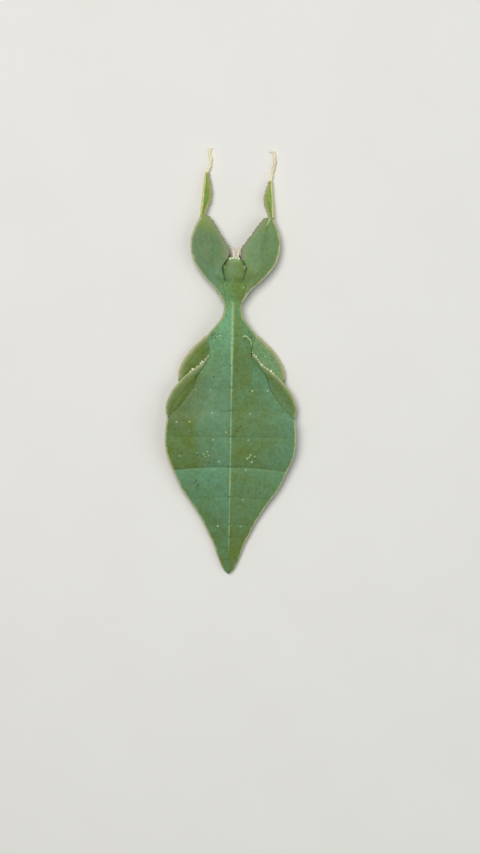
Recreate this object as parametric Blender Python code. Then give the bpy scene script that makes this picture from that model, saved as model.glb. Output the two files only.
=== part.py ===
"""A leaf insect nymph at life size, lying flat with both forelegs stretched ahead.

All sizes are millimetres and become metres when a mesh is made. While the
pieces are shaped, y runs from the tip of the tail towards the head, x runs to
the insect's right, and z rises from the floor. The last step moves every piece
so that the origin is the middle of the base of the box round them all.
"""

import math

import bmesh
import bpy
from mathutils import Matrix, Vector

MM = 0.001
GAP = 0.3
SIDES = {"left": -1.0, "right": 1.0}

# Body outline seen from above: (distance from the tail tip, half width)
BODY_OUTLINE = (
    (0.0, 0.6), (0.8, 0.95), (1.6, 1.25), (3.4, 2.0), (5.2, 2.7), (7.1, 3.7),
    (9.3, 4.8), (12.1, 6.6), (15.0, 8.6), (17.5, 9.8), (19.3, 10.6), (21.0, 11.2),
    (23.0, 11.5), (25.5, 11.4), (27.0, 11.2), (27.4, 10.8), (28.9, 9.2),
    (30.4, 8.0), (32.4, 6.8), (34.9, 5.8), (36.4, 4.6),
)
THORAX_OUTLINE = (
    (36.4, 3.9), (37.4, 3.6), (38.9, 3.4), (40.2, 3.8), (41.8, 4.05), (42.9, 3.3), (43.7, 2.65),
    (44.6, 2.05), (45.3, 1.87), (47.4, 1.6),
)
NECK_SHIELD_OUTLINE = ((47.6, 1.3), (49.0, 1.42), (50.3, 1.7), (51.1, 1.7))

# Body heights along the same line
RIDGE_TOP = (
    (0.0, 1.2), (3.0, 1.9), (8.0, 2.8), (15.0, 3.7), (20.0, 4.25), (26.0, 4.7),
    (31.0, 4.85), (36.4, 4.75), (41.5, 4.5), (44.5, 4.05), (47.4, 3.75), (51.1, 3.7),
)
MARGIN_TOP = (
    (0.0, 0.9), (5.0, 1.1), (10.0, 1.4), (15.0, 1.85), (20.0, 2.5), (24.0, 3.1),
    (27.0, 3.5), (39.0, 3.5), (41.5, 3.0), (51.1, 2.95),
)
BELLY_HALF = (
    (0.0, 0.35), (4.0, 1.0), (9.0, 2.1), (14.0, 2.6), (28.0, 2.5), (33.0, 1.8),
    (36.4, 1.5), (41.0, 1.7), (43.0, 1.5), (45.0, 1.1), (51.1, 0.9),
)
BREAST_HEIGHT = 0.4
THROAT_HEIGHT = 0.9

SEGMENT_LINES = (36.4, 32.5, 28.5, 24.0, 18.7, 13.5, 8.75, 6.5, 4.5)
TAIL_PLATE_END = 0.85
THORAX_LINE = 41.55
NECK_LINE = 47.5
HEAD_LINE = 51.2

LOBE = 0.5
RIB_HEIGHT = 0.14
RIB_HALF = 0.24

# Head
HEAD_X = 0.15
HEAD_STATIONS = (
    # y, half width, underside, top
    (51.35, 1.55, 1.55, 3.45), (51.9, 1.72, 1.35, 3.55), (52.8, 1.78, 1.3, 3.6),
    (53.6, 1.74, 1.35, 3.55), (54.2, 1.5, 1.5, 3.45), (54.8, 1.2, 1.75, 3.3),
    (55.25, 0.98, 2.0, 3.1),
)
EYE_RADIUS = 0.52
EYE_AT = (1.38, 53.65, 2.85)
ANTENNA_SEGMENTS = 9
ANTENNA = {"left": ((-0.28, 55.55, 2.7), (-0.27, 57.1, 2.95)),
           "right": ((0.45, 55.55, 2.7), (0.8, 57.1, 2.95))}
ANTENNA_RADIUS = 0.25
MOUTH_STATIONS = (
    (53.8, 0.5, 0.7, 1.0), (54.5, 0.62, 0.6, 1.15), (55.1, 0.6, 0.75, 1.45),
    (55.6, 0.4, 1.0, 1.6),
)

# The right one of the two short feelers beside the mouth, from the head's middle: x, y, z
PALP = (
    (0.3, 54.3, 0.85), (0.72, 54.75, 0.8), (0.86, 55.15, 0.75), (0.85, 55.55, 0.65),
    (0.75, 55.85, 0.5),
)
PALP_RADII = (0.2, 0.24, 0.19, 0.23, 0.12)

# Forelegs, as the right one before its turn: (inner edge x, y), (outer edge x, y)
FORE_FEMUR = (
    ((1.68, 48.0), (1.85, 47.95)), ((1.92, 49.55), (3.2, 49.78)), ((2.12, 51.25), (4.97, 51.5)),
    ((2.24, 52.95), (6.5, 53.3)), ((1.95, 54.2), (7.42, 54.95)), ((1.2, 55.4), (7.84, 56.8)),
    ((0.92, 56.9), (7.88, 58.25)), ((1.85, 58.38), (7.63, 59.55)), ((2.9, 59.85), (7.2, 60.75)),
    ((4.0, 61.55), (6.7, 61.8)), ((5.0, 62.6), (6.33, 62.42)),
)
FORE_PIVOT = (1.5, 48.3)
FORE_TURN = {"left": -1.7, "right": 1.7}
FORE_LIFT = ((0.0, 2.5), (0.5, 2.3), (1.0, 1.75))
TOOTH_COUNT = 8
TOOTH_DEPTH = 0.28
TOOTHED_FROM = 0.6
TOOTHED_TO = 0.96
TIBIA_LENGTH = {"left": 7.35, "right": 6.15}
TIBIA_INWARD = {"left": 5.8, "right": 3.4}
TIBIA_BACK = 0.36
SHAFT_INSET = 0.23
SHAFT_SIDE = 0.22
SHAFT_SIDE_SHARE = 0.8
TIBIA_LOBE = ((0.0, 0.45), (0.2, 1.0), (0.5, 1.4), (0.8, 0.85), (1.0, 0.25))
TIBIA_HEIGHT = ((0.0, 1.6), (1.0, 0.8))
TIBIA_THICK = ((0.0, 0.42), (1.0, 0.28))
TARSUS_STEPS = {
    "left": ((0.0, 0.0), (0.3, 0.6), (0.6, 2.1), (0.4, 3.6)),
    "right": ((0.0, 0.0), (0.35, 1.6), (0.7, 3.2), (0.65, 4.5)),
}

# The foreleg's hip, as the right one: x, y, z
FORE_COXA = ((1.25, 48.6, 1.3), (1.9, 48.75, 1.25), (2.45, 49.2, 1.25), (2.65, 49.75, 1.35))
FORE_COXA_RADIUS = 0.42

# Middle and hind thighs, as the right ones, from the body outwards
MID_FEMUR = (
    ((3.35, 38.9), (3.35, 41.3)), ((3.7, 38.2), (4.35, 41.55)), ((4.5, 37.75), (5.6, 40.6)),
    ((5.3, 37.1), (6.85, 39.45)), ((6.2, 36.3), (7.85, 38.15)), ((7.0, 35.55), (8.65, 36.7)),
    ((7.7, 34.8), (9.15, 35.2)), ((8.3, 34.1), (9.25, 34.1)),
)
HIND_FEMUR = (
    ((3.5, 36.75), (3.55, 38.7)), ((4.3, 35.9), (4.25, 38.1)), ((5.0, 34.6), (5.2, 36.9)),
    ((5.9, 33.1), (6.85, 35.65)), ((6.8, 31.4), (8.35, 34.4)), ((7.6, 30.1), (9.5, 33.15)),
    ((8.4, 29.1), (10.35, 31.8)), ((9.3, 28.3), (11.0, 30.4)), ((9.9, 27.7), (11.35, 29.0)),
    ((10.2, 27.3), (11.3, 27.5)),
)
BEAD_COUNT = 14
BEAD_DEPTH = 0.1

# The hidden parts of those legs, as the right ones: x, y, z, then the radius at each place
MID_COXA = ((2.15, 40.2, 1.35), (2.6, 40.2, 1.35), (3.05, 40.15, 1.35))
MID_COXA_RADII = (0.48, 0.48, 0.46)
MID_SHIN = (
    (8.85, 33.8, 1.35), (8.65, 33.4, 1.05), (8.1, 33.45, 0.75), (7.4, 34.5, 0.62),
    (6.2, 36.2, 0.6), (5.2, 37.7, 0.58),
)
MID_SHIN_RADII = (0.42, 0.38, 0.36, 0.38, 0.36, 0.3)
MID_FOOT = ((4.98, 38.0, 0.4), (4.4, 38.5, 0.27), (3.2, 38.7, 0.2), (2.5, 38.4, 0.2))
HIND_COXA = ((2.15, 37.4, 1.75), (2.7, 37.45, 1.9), (3.2, 37.5, 2.05))
HIND_COXA_RADII = (0.5, 0.5, 0.46)
HIND_SHIN = (
    (10.75, 26.95, 2.05), (10.5, 26.35, 1.65), (9.9, 26.35, 1.3), (9.0, 27.5, 1.15),
    (7.6, 29.6, 1.0), (6.0, 32.2, 0.75),
)
HIND_SHIN_RADII = (0.45, 0.42, 0.4, 0.42, 0.4, 0.32)
HIND_FOOT = ((5.8, 32.5, 0.5), (5.2, 33.6, 0.3), (4.2, 35.0, 0.2), (3.4, 35.9, 0.2))

# A foot: its thickness, where its joints meet along it, and how wide it is within each joint
FOOT_RADIUS = 0.26
FOOT_JOINTS = (0.0, 0.36, 0.52, 0.66, 0.79, 1.0)
JOINT_SWELL = ((0.0, 0.86), (0.6, 1.05), (0.95, 1.0))

# A claw, from its root: (ahead, to the hook's side), and the radius at each place
CLAW_PATH = ((0.0, 0.0), (0.3, 0.08), (0.42, 0.28), (0.34, 0.5))
CLAW_RADII = (0.14, 0.13, 0.1, 0.05)
CLAW_SPREAD = (-0.12, 0.14)
CLAW_SUNK = 0.2

GREEN = (0.14, 0.25, 0.12, 1.0)
LEG_GREEN = (0.16, 0.25, 0.1, 1.0)
CREAM = (0.52, 0.5, 0.32, 1.0)
EYE_BROWN = (0.2, 0.17, 0.08, 1.0)


def smooth(table, at):
    """Value at one place on a smooth curve through (place, value) pairs, with no overshoot."""
    if at <= table[0][0]:
        return table[0][1]
    if at >= table[-1][0]:
        return table[-1][1]
    places = [pair[0] for pair in table]
    values = [pair[1] for pair in table]
    steps = [b - a for a, b in zip(places, places[1:])]
    slopes = [(b - a) / step for a, b, step in zip(values, values[1:], steps)]
    bends = [slopes[0]]
    for left, right in zip(slopes, slopes[1:]):
        bends.append(2 * left * right / (left + right) if left * right > 0 else 0.0)
    bends.append(slopes[-1])
    index = max(i for i, place in enumerate(places[:-1]) if place <= at)
    step = steps[index]
    t = (at - places[index]) / step
    rise = values[index + 1] - values[index]
    return (values[index] + step * bends[index] * t * (1 - t) ** 2
            - step * bends[index + 1] * t * t * (1 - t) + rise * t * t * (3 - 2 * t))


def material(name, colour, roughness):
    made = bpy.data.materials.new(name)
    made.use_nodes = True
    shader = made.node_tree.nodes["Principled BSDF"]
    shader.inputs["Base Color"].default_value = colour
    shader.inputs["Roughness"].default_value = roughness
    shader.inputs["Metallic"].default_value = 0.0
    return made


def make_object(name, points, faces, look):
    """One closed mesh from points in millimetres, with its faces pointing out."""
    mesh = bpy.data.meshes.new(name)
    mesh.from_pydata([Vector(point) * MM for point in points], [], faces)
    shaped = bmesh.new()
    shaped.from_mesh(mesh)
    bmesh.ops.recalc_face_normals(shaped, faces=shaped.faces)
    shaped.to_mesh(mesh)
    shaped.free()
    mesh.materials.append(look)
    mesh.shade_smooth()
    mesh.set_sharp_from_angle(angle=math.radians(40))
    made = bpy.data.objects.new(name, mesh)
    bpy.context.scene.collection.objects.link(made)
    return made


def slab(name, rows, look):
    """A thin closed sheet from rows of (x, y, top, underside), split alike on both faces."""
    across = len(rows[0])
    flat = [cell for row in rows for cell in row]
    tops = [(x, y, top) for x, y, top, _ in flat]
    unders = [(x, y, under) for x, y, _, under in flat]
    below = len(tops)
    faces = []
    for r in range(len(rows) - 1):
        for c in range(across - 1):
            a = r * across + c
            b = a + 1
            d = a + across
            e = d + 1
            faces += [(a, b, e), (a, e, d)]
            faces += [(below + a, below + e, below + b), (below + a, below + d, below + e)]
    rim = list(range(across))
    rim += [r * across + across - 1 for r in range(1, len(rows))]
    rim += [(len(rows) - 1) * across + c for c in range(across - 2, -1, -1)]
    rim += [r * across for r in range(len(rows) - 2, 0, -1)]
    for a, b in zip(rim, rim[1:] + rim[:1]):
        faces += [(a, below + a, below + b), (a, below + b, b)]
    return make_object(name, tops + unders, faces, look)


def tube(name, stations, sides, look, power=2.0):
    """A closed tube through (centre, half width, half height), flat where it would pass the floor."""
    centres = [Vector(centre) for centre, _, _ in stations]
    points = []
    for i, (_, wide, high) in enumerate(stations):
        ahead = centres[min(i + 1, len(centres) - 1)] - centres[max(i - 1, 0)]
        side = ahead.cross(Vector((0, 0, 1))).normalized()
        up = side.cross(ahead).normalized()
        for k in range(sides):
            turn = 2 * math.pi * (k + 0.5) / sides
            c = math.copysign(abs(math.cos(turn)) ** (2 / power), math.cos(turn))
            s = math.copysign(abs(math.sin(turn)) ** (2 / power), math.sin(turn))
            point = centres[i] + side * (wide * c) + up * (high * s)
            points.append((point.x, point.y, max(point.z, 0.0)))
    faces = []
    for i in range(len(stations) - 1):
        for k in range(sides):
            a = i * sides + k
            b = i * sides + (k + 1) % sides
            faces += [(a, b, b + sides), (a, b + sides, a + sides)]
    last = (len(stations) - 1) * sides
    points += [tuple(centres[0]), tuple(centres[-1])]
    for k in range(sides):
        after = (k + 1) % sides
        faces.append((k, len(points) - 2, after))
        faces.append((last + after, len(points) - 1, last + k))
    return make_object(name, points, faces, look)


def apply_modifiers(made):
    """Bakes an object's modifiers into its mesh."""
    graph = bpy.context.evaluated_depsgraph_get()
    baked = bpy.data.meshes.new_from_object(made.evaluated_get(graph))
    made.modifiers.clear()
    made.data = baked


def keep_largest(made):
    """Drops every loose scrap, so that the object is its one largest closed surface."""
    shaped = bmesh.new()
    shaped.from_mesh(made.data)
    left = set(shaped.verts)
    groups = []
    while left:
        group = set()
        edge = [left.pop()]
        while edge:
            vert = edge.pop()
            group.add(vert)
            for link in vert.link_edges:
                other = link.other_vert(vert)
                if other in left:
                    left.remove(other)
                    edge.append(other)
        groups.append(group)
    biggest = max(groups, key=len)
    scraps = [vert for group in groups if group is not biggest for vert in group]
    bmesh.ops.delete(shaped, geom=scraps, context="VERTS")
    shaped.to_mesh(made.data)
    shaped.free()


def join(base, pieces):
    """One Boolean union of the base with its pieces, which are then removed."""
    group = bpy.data.collections.new(base.name + "_pieces")
    bpy.context.scene.collection.children.link(group)
    for piece in pieces:
        bpy.context.scene.collection.objects.unlink(piece)
        group.objects.link(piece)
    union = base.modifiers.new("union", "BOOLEAN")
    union.operation = "UNION"
    union.operand_type = "COLLECTION"
    union.collection = group
    union.solver = "EXACT"
    apply_modifiers(base)
    for piece in pieces:
        bpy.data.objects.remove(piece)
    bpy.data.collections.remove(group)
    keep_largest(base)


def body_row(y, outline, centre, belly_z, edge):
    """One row of the body across its width: a ridged back, thin margins and a flat belly."""
    half = smooth(outline, y)
    belly = min(smooth(BELLY_HALF, y), 0.6 * half)
    shoulder = belly + min(0.8, 0.4 * (half - belly))
    right = [0.0, RIB_HALF, 0.6 * belly, belly, shoulder]
    right += [shoulder + (half - shoulder) * k for k in (0.3, 0.6, 0.85, 1.0)]
    row = []
    for x in [-x for x in right[:0:-1]] + right:
        out = abs(x) / half
        margin = smooth(MARGIN_TOP, y)
        top = margin + (smooth(RIDGE_TOP, y) - margin) * (1 - out) ** 1.15
        top += RIB_HEIGHT * max(0.0, 1 - abs(x) / RIB_HALF)
        under = top - edge - 0.5 * (1 - out)
        if abs(x) <= belly + 1e-6:
            under = belly_z
        row.append((centre + x, y, top, under))
    return row


def body_piece(name, rear, front, outline, look, centre=0.0, belly_z=0.0, edge=LOBE + 0.05):
    """The stretch of the body between two lines, held half a gap off each."""
    start = rear + GAP / 2
    end = front - GAP / 2
    count = max(3, round((end - start) / 0.95) + 1)
    places = [start + (end - start) * i / (count - 1) for i in range(count)]
    return slab(name, [body_row(y, outline, centre, belly_z, edge) for y in places], look)


def make_body(look):
    lines = list(SEGMENT_LINES) + [TAIL_PLATE_END - GAP / 2]
    for number, (front, rear) in enumerate(zip(lines, lines[1:]), start=2):
        body_piece(f"abdomen_segment_{number}", rear, front, BODY_OUTLINE, look)
    body_piece("metathorax", SEGMENT_LINES[0], THORAX_LINE, THORAX_OUTLINE, look,
               belly_z=BREAST_HEIGHT)
    body_piece("mesothorax", THORAX_LINE, NECK_LINE, THORAX_OUTLINE, look,
               belly_z=BREAST_HEIGHT, edge=0.75)
    body_piece("prothorax", NECK_LINE, HEAD_LINE, NECK_SHIELD_OUTLINE, look, centre=0.1,
               belly_z=THROAT_HEIGHT, edge=1.0)


def make_cerci(look):
    """The two short feelers of the tail, side by side under its last plate."""
    for side, sign in SIDES.items():
        start = Vector((sign * 0.42, TAIL_PLATE_END - GAP, 0.55))
        stations = [(start, 0.25, 0.27), (start + Vector((0, -0.3, -0.05)), 0.26, 0.26),
                    (Vector((sign * 0.38, 0.0, 0.45)), 0.12, 0.14)]
        tube(f"cercus_{side}", stations, 8, look)


def box_station(y, half, low, high, x=HEAD_X):
    return (Vector((x, y, (low + high) / 2)), half, (high - low) / 2)


def make_head(look, eye_look, pale):
    head = tube("head", [box_station(*station) for station in HEAD_STATIONS], 20, look, 2.5)
    sockets = []
    for side, sign in SIDES.items():
        centre = (HEAD_X + sign * EYE_AT[0], EYE_AT[1], EYE_AT[2])
        sockets.append(make_ball(f"socket_{side}", centre, EYE_RADIUS + GAP, eye_look))
        make_ball(f"eye_{side}", centre, EYE_RADIUS, eye_look)
    for socket in sockets:
        cut = head.modifiers.new("socket", "BOOLEAN")
        cut.operation = "DIFFERENCE"
        cut.object = socket
        cut.solver = "EXACT"
    apply_modifiers(head)
    for socket in sockets:
        bpy.data.objects.remove(socket)
    keep_largest(head)
    make_mouth(pale)
    for side in SIDES:
        make_antenna(side, pale)


def make_mouth(look):
    """The lip and jaws under the front of the head, with a short jointed palp each side."""
    mouth = tube("mouthparts", [box_station(*station) for station in MOUTH_STATIONS], 12, look, 2.5)
    palps = []
    for side, sign in SIDES.items():
        path = [Vector((HEAD_X + sign * x, y, z)) for x, y, z in PALP]
        stations = [(point, r, r) for point, r in zip(path, PALP_RADII)]
        palps.append(tube(f"palp_{side}", stations, 8, look))
    join(mouth, palps)


def make_ball(name, centre, radius, look):
    shaped = bmesh.new()
    bmesh.ops.create_uvsphere(shaped, u_segments=14, v_segments=8, radius=radius)
    bmesh.ops.triangulate(shaped, faces=shaped.faces)
    points = [vert.co + Vector(centre) for vert in shaped.verts]
    faces = [tuple(vert.index for vert in face.verts) for face in shaped.faces]
    shaped.free()
    return make_object(name, points, faces, look)


def make_antenna(side, look):
    """A short feeler of nine beads, the first two the thickest."""
    base, tip = (Vector((HEAD_X + x, y, z)) for x, y, z in ANTENNA[side])
    stations = []
    for i in range(2 * ANTENNA_SEGMENTS + 1):
        t = i / (2 * ANTENNA_SEGMENTS)
        thick = ANTENNA_RADIUS * (1.0 if i % 2 else 0.84) * (1.0 - 0.35 * t)
        stations.append((base.lerp(tip, t), thick, thick))
    tube(f"antenna_{side}", stations, 8, look)


def lobe_rows(stations, places, heights, shaft, rib, mould):
    """Rows of a leaf-shaped leg segment, from its inner edge over the shaft to its outer edge.

    heights gives the middle height at the inner edge, the shaft and the outer edge, shaft is how far
    across the shaft lies, rib is how far it stands over and under the sheet, and mould moves an edge.
    """
    last = len(stations) - 1
    tables = [[(i, station[edge][axis]) for i, station in enumerate(stations)]
              for edge in (0, 1) for axis in (0, 1)]
    rows = []
    for t in places:
        at = t * last
        inner = Vector((smooth(tables[0], at), smooth(tables[1], at)))
        outer = Vector((smooth(tables[2], at), smooth(tables[3], at)))
        wide = (outer - inner).length
        inner, outer = mould(t, inner, outer)
        middle = shaft(t)
        beside = min(0.42 / wide, 0.4 * middle, 0.4 * (1 - middle))
        cuts = [0.0, 0.4 * middle, 0.75 * middle, middle - beside, middle, middle + beside]
        cuts[2] = min(cuts[2], cuts[3] - 0.02)
        cuts += [1 - 0.6 * (1 - middle), 1 - 0.25 * (1 - middle), 1.0]
        cuts[6] = max(cuts[6], cuts[5] + 0.02)
        row = []
        for number, across in enumerate(cuts):
            spot = inner.lerp(outer, across)
            low, mid, high = heights(t)
            if across <= middle:
                z = low + (mid - low) * across / middle
            else:
                z = mid + (high - mid) * ((across - middle) / (1 - middle)) ** 1.4
            swell = {4: 1.0, 3: 0.5, 5: 0.5}.get(number, 0.0)
            over, under = rib(t)
            row.append((spot.x, spot.y, z + LOBE / 2 + over * swell,
                        z - LOBE / 2 - under * swell))
        rows.append(row)
    return rows


def unmoved(t, inner, outer):
    return inner, outer


def mirrored(rows, sign):
    return [[(sign * x, y, top, under) for x, y, top, under in row] for row in rows]


def turned(point, pivot, degrees):
    """A point on the ground turned clockwise round a pivot."""
    angle = math.radians(degrees)
    dx = point[0] - pivot[0]
    dy = point[1] - pivot[1]
    return (pivot[0] + dx * math.cos(angle) + dy * math.sin(angle),
            pivot[1] - dx * math.sin(angle) + dy * math.cos(angle))


def ramp(start, end, t):
    return min(1.0, max(0.0, (t - start) / (end - start)))


def evenly(count, start=0.0, end=1.0):
    return [start + (end - start) * i / (count - 1) for i in range(count)]


def fore_teeth(t, inner, outer):
    """Saw teeth along the inner edge from its widest place to the knee."""
    if TOOTHED_FROM <= t <= TOOTHED_TO:
        step = round((t - TOOTHED_FROM) / (TOOTHED_TO - TOOTHED_FROM) * 2 * TOOTH_COUNT)
        if step % 2:
            inner = inner + (outer - inner).normalized() * TOOTH_DEPTH
    return inner, outer


def make_fore_femur(side, look):
    sign = SIDES[side]
    stations = []
    for inner, outer in FORE_FEMUR:
        stations.append((turned(inner, FORE_PIVOT, FORE_TURN[side]),
                         turned(outer, FORE_PIVOT, FORE_TURN[side])))
    places = evenly(15, 0.0, TOOTHED_FROM)[:-1]
    places += evenly(2 * TOOTH_COUNT + 1, TOOTHED_FROM, TOOTHED_TO) + [1.0]

    def heights(t):
        z = smooth(FORE_LIFT, t)
        return z - 0.05, z, z - 0.35 * math.sin(math.pi * min(1.0, t))

    def rib(t):
        grown = ramp(0.1, 0.22, t)
        return 0.22 * grown, 0.85 * grown * (1 - 0.55 * t)

    rows = lobe_rows(stations, places, heights, lambda t: 0.42 + 0.1 * t, rib, fore_teeth)
    return slab(f"fore_femur_{side}", mirrored(rows, sign), look), stations[-1]


def make_fore_tibia(side, knee, look):
    """The foreleg's shin: a shaft along its outer edge and a leaf lobe inside."""
    sign = SIDES[side]
    start = Vector((knee[1][0] - SHAFT_INSET, max(knee[0][1], knee[1][1]) + GAP))
    lean = math.radians(TIBIA_INWARD[side])
    along = Vector((-math.sin(lean), math.cos(lean)))
    out = Vector((math.cos(lean), math.sin(lean)))
    length = TIBIA_LENGTH[side]
    rows = []
    for t in evenly(11):
        centre = start + along * (length * t)
        lobe = smooth(TIBIA_LOBE, t)
        z = smooth(TIBIA_HEIGHT, t)
        thick = smooth(TIBIA_THICK, t)
        beside = SHAFT_SIDE_SHARE * thick
        row = []
        for offset, half in ((-lobe, LOBE / 2), (-0.55 * lobe, LOBE / 2), (-SHAFT_SIDE, beside),
                             (0.0, thick), (SHAFT_SIDE, beside), (TIBIA_BACK, LOBE / 2)):
            spot = centre + out * offset
            row.append((sign * spot.x, spot.y, z + half, z - half))
        rows.append(row)
    slab(f"fore_tibia_{side}", rows, look)
    return start + along * (length + GAP)


def tarsus_stations(path, thick):
    """Five foot joints along a path: the first the longest, each narrowed where it meets the next."""
    knots = [(i / (len(path) - 1), point) for i, point in enumerate(path)]
    tables = [[(t, point[axis]) for t, point in knots] for axis in range(3)]
    stations = []
    for start, end in zip(FOOT_JOINTS, FOOT_JOINTS[1:]):
        for part, swell in JOINT_SWELL:
            t = start + (end - start) * part
            centre = Vector([smooth(table, t) for table in tables])
            stations.append((centre, thick * swell, thick * swell))
    return stations


def make_tarsus(name, path, hook, look):
    """A foot with its two claws, which bend to the hook side."""
    stations = tarsus_stations(path, FOOT_RADIUS)
    foot = tube(name, stations, 8, look)
    tip = stations[-1][0]
    ahead = (tip - stations[-3][0]).normalized()
    side = Vector((ahead.y, -ahead.x, 0)) * hook
    claws = []
    for number, spread in enumerate(CLAW_SPREAD):
        root = tip - ahead * CLAW_SUNK + side * spread
        bends = [root + ahead * forth + side * aside for forth, aside in CLAW_PATH]
        stations = [(bend, r, r) for bend, r in zip(bends, CLAW_RADII)]
        claws.append(tube(f"{name}_claw_{number}", stations, 6, look))
    join(foot, claws)


def make_fore_tarsus(side, start, look):
    sign = SIDES[side]
    steps = TARSUS_STEPS[side]
    path = [Vector((sign * start.x + dx, start.y + dy, 0.75 - 0.5 * dy / steps[-1][1]))
            for dx, dy in steps]
    make_tarsus(f"fore_tarsus_{side}", path, -sign, look)


def make_foreleg(side, green, pale):
    hip = [(Vector((SIDES[side] * x + 0.05, y, z)), FORE_COXA_RADIUS, FORE_COXA_RADIUS)
           for x, y, z in FORE_COXA]
    tube(f"fore_coxa_{side}", hip, 10, green)
    _, knee = make_fore_femur(side, green)
    ankle = make_fore_tibia(side, knee, green)
    make_fore_tarsus(side, ankle, pale)


def make_mid_leg(side, green, pale):
    sign = SIDES[side]

    def heights(t):
        return 1.5, 1.55, 1.5 - 0.55 * ramp(0.1, 0.5, t)

    def rib(t):
        return 0.12, 0.45

    places = evenly(15)
    rows = lobe_rows(MID_FEMUR, places, heights, lambda t: 0.55, rib, unmoved)
    slab(f"mid_femur_{side}", mirrored(rows, sign), green)
    folded(f"mid_coxa_{side}", sign, MID_COXA, MID_COXA_RADII, green)
    folded(f"mid_tibia_{side}", sign, MID_SHIN, MID_SHIN_RADII, green)
    foot = [Vector((sign * x, y, z)) for x, y, z in MID_FOOT]
    make_tarsus(f"mid_tarsus_{side}", foot, sign, pale)


def bead_edge(t, inner, outer):
    """Low beads along the front edge of the hind thigh."""
    step = round(t * 2 * BEAD_COUNT)
    if step % 2:
        outer = outer + (outer - inner).normalized() * BEAD_DEPTH
    return inner, outer


def make_hind_leg(side, green, pale):
    sign = SIDES[side]

    def heights(t):
        return 2.33, 2.35, 2.35 - 0.5 * ramp(0.6, 1.0, t)

    def rib(t):
        return 0.45 * ramp(0.1, 0.3, t) * (1 - 0.7 * ramp(0.7, 1.0, t)), 0.2 + 0.25 * ramp(0.6, 0.8, t)

    places = evenly(2 * BEAD_COUNT + 1)
    rows = lobe_rows(HIND_FEMUR, places, heights, lambda t: 0.62, rib, bead_edge)
    slab(f"hind_femur_{side}", mirrored(rows, sign), green)
    folded(f"hind_coxa_{side}", sign, HIND_COXA, HIND_COXA_RADII, green)
    folded(f"hind_tibia_{side}", sign, HIND_SHIN, HIND_SHIN_RADII, green)
    foot = [Vector((sign * x, y, z)) for x, y, z in HIND_FOOT]
    make_tarsus(f"hind_tarsus_{side}", foot, sign, pale)


def folded(name, sign, path, radii, look):
    stations = [(Vector((sign * x, y, z)), r, r) for (x, y, z), r in zip(path, radii)]
    tube(name, stations, 10, look)


def centre_on_base():
    """Moves every mesh so that the origin is the middle of the base of the whole box."""
    solids = [made for made in bpy.data.objects if made.type == "MESH"]
    corners = [made.matrix_world @ vert.co for made in solids for vert in made.data.vertices]
    low = [min(corner[axis] for corner in corners) for axis in range(3)]
    high = [max(corner[axis] for corner in corners) for axis in range(3)]
    shift = Vector((-(low[0] + high[0]) / 2, -(low[1] + high[1]) / 2, -low[2]))
    for made in solids:
        made.data.transform(Matrix.Translation(shift))


def main():
    for old in list(bpy.data.objects):
        bpy.data.objects.remove(old, do_unlink=True)
    body_green = material("body_green", GREEN, 0.55)
    leg_green = material("leg_green", LEG_GREEN, 0.55)
    cream = material("cream", CREAM, 0.5)
    eye_brown = material("eye_brown", EYE_BROWN, 0.2)
    make_body(body_green)
    make_cerci(body_green)
    make_head(body_green, eye_brown, cream)
    for side in SIDES:
        make_foreleg(side, leg_green, cream)
        make_mid_leg(side, leg_green, cream)
        make_hind_leg(side, leg_green, cream)
    centre_on_base()


main()
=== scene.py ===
# %% [markdown]
# # A leaf insect, built piece by piece
# A young leaf insect lies flat, with both forelegs stretched ahead of its head.
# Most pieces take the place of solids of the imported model, so the first step
# loads those solids and keeps their box.

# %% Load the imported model
import math

import bmesh
import bpy
import numpy as np
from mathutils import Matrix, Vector


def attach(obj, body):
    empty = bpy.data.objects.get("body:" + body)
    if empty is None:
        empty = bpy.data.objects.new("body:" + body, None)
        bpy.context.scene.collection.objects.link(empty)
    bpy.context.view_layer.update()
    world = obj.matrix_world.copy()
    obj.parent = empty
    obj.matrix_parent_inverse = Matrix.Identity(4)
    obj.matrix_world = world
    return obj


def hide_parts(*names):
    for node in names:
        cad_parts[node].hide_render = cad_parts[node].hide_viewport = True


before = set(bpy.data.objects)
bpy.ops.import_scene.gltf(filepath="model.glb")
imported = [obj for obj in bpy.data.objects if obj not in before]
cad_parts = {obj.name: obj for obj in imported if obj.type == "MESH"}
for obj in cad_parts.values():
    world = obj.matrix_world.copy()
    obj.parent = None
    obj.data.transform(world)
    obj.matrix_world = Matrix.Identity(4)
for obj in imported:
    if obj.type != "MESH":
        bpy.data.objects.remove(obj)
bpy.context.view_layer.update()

# %% [markdown]
# ## The working frame
# Shapes are drawn in millimetres, with y counted from the tail's tip to the
# head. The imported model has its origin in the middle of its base, so one shift
# and one scale bring a finished shape home.

# %% Units and the shift to the model's origin
MM = 0.001
TAIL_Y = -37.3
SIDES = {"left": -1, "right": 1}


def mirrored(points, sign, middle=0):
    """Points given for the right side, put on one side of the middle."""
    return [(sign * x + middle, *rest) for x, *rest in points]


# %% [markdown]
# ## Smooth tables
# An animal's outline is easy to hold as a short table of places and widths.
# A plain spline can swing past such values, so the curve here is a monotone
# cubic, which bends smoothly and never overshoots.

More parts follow.
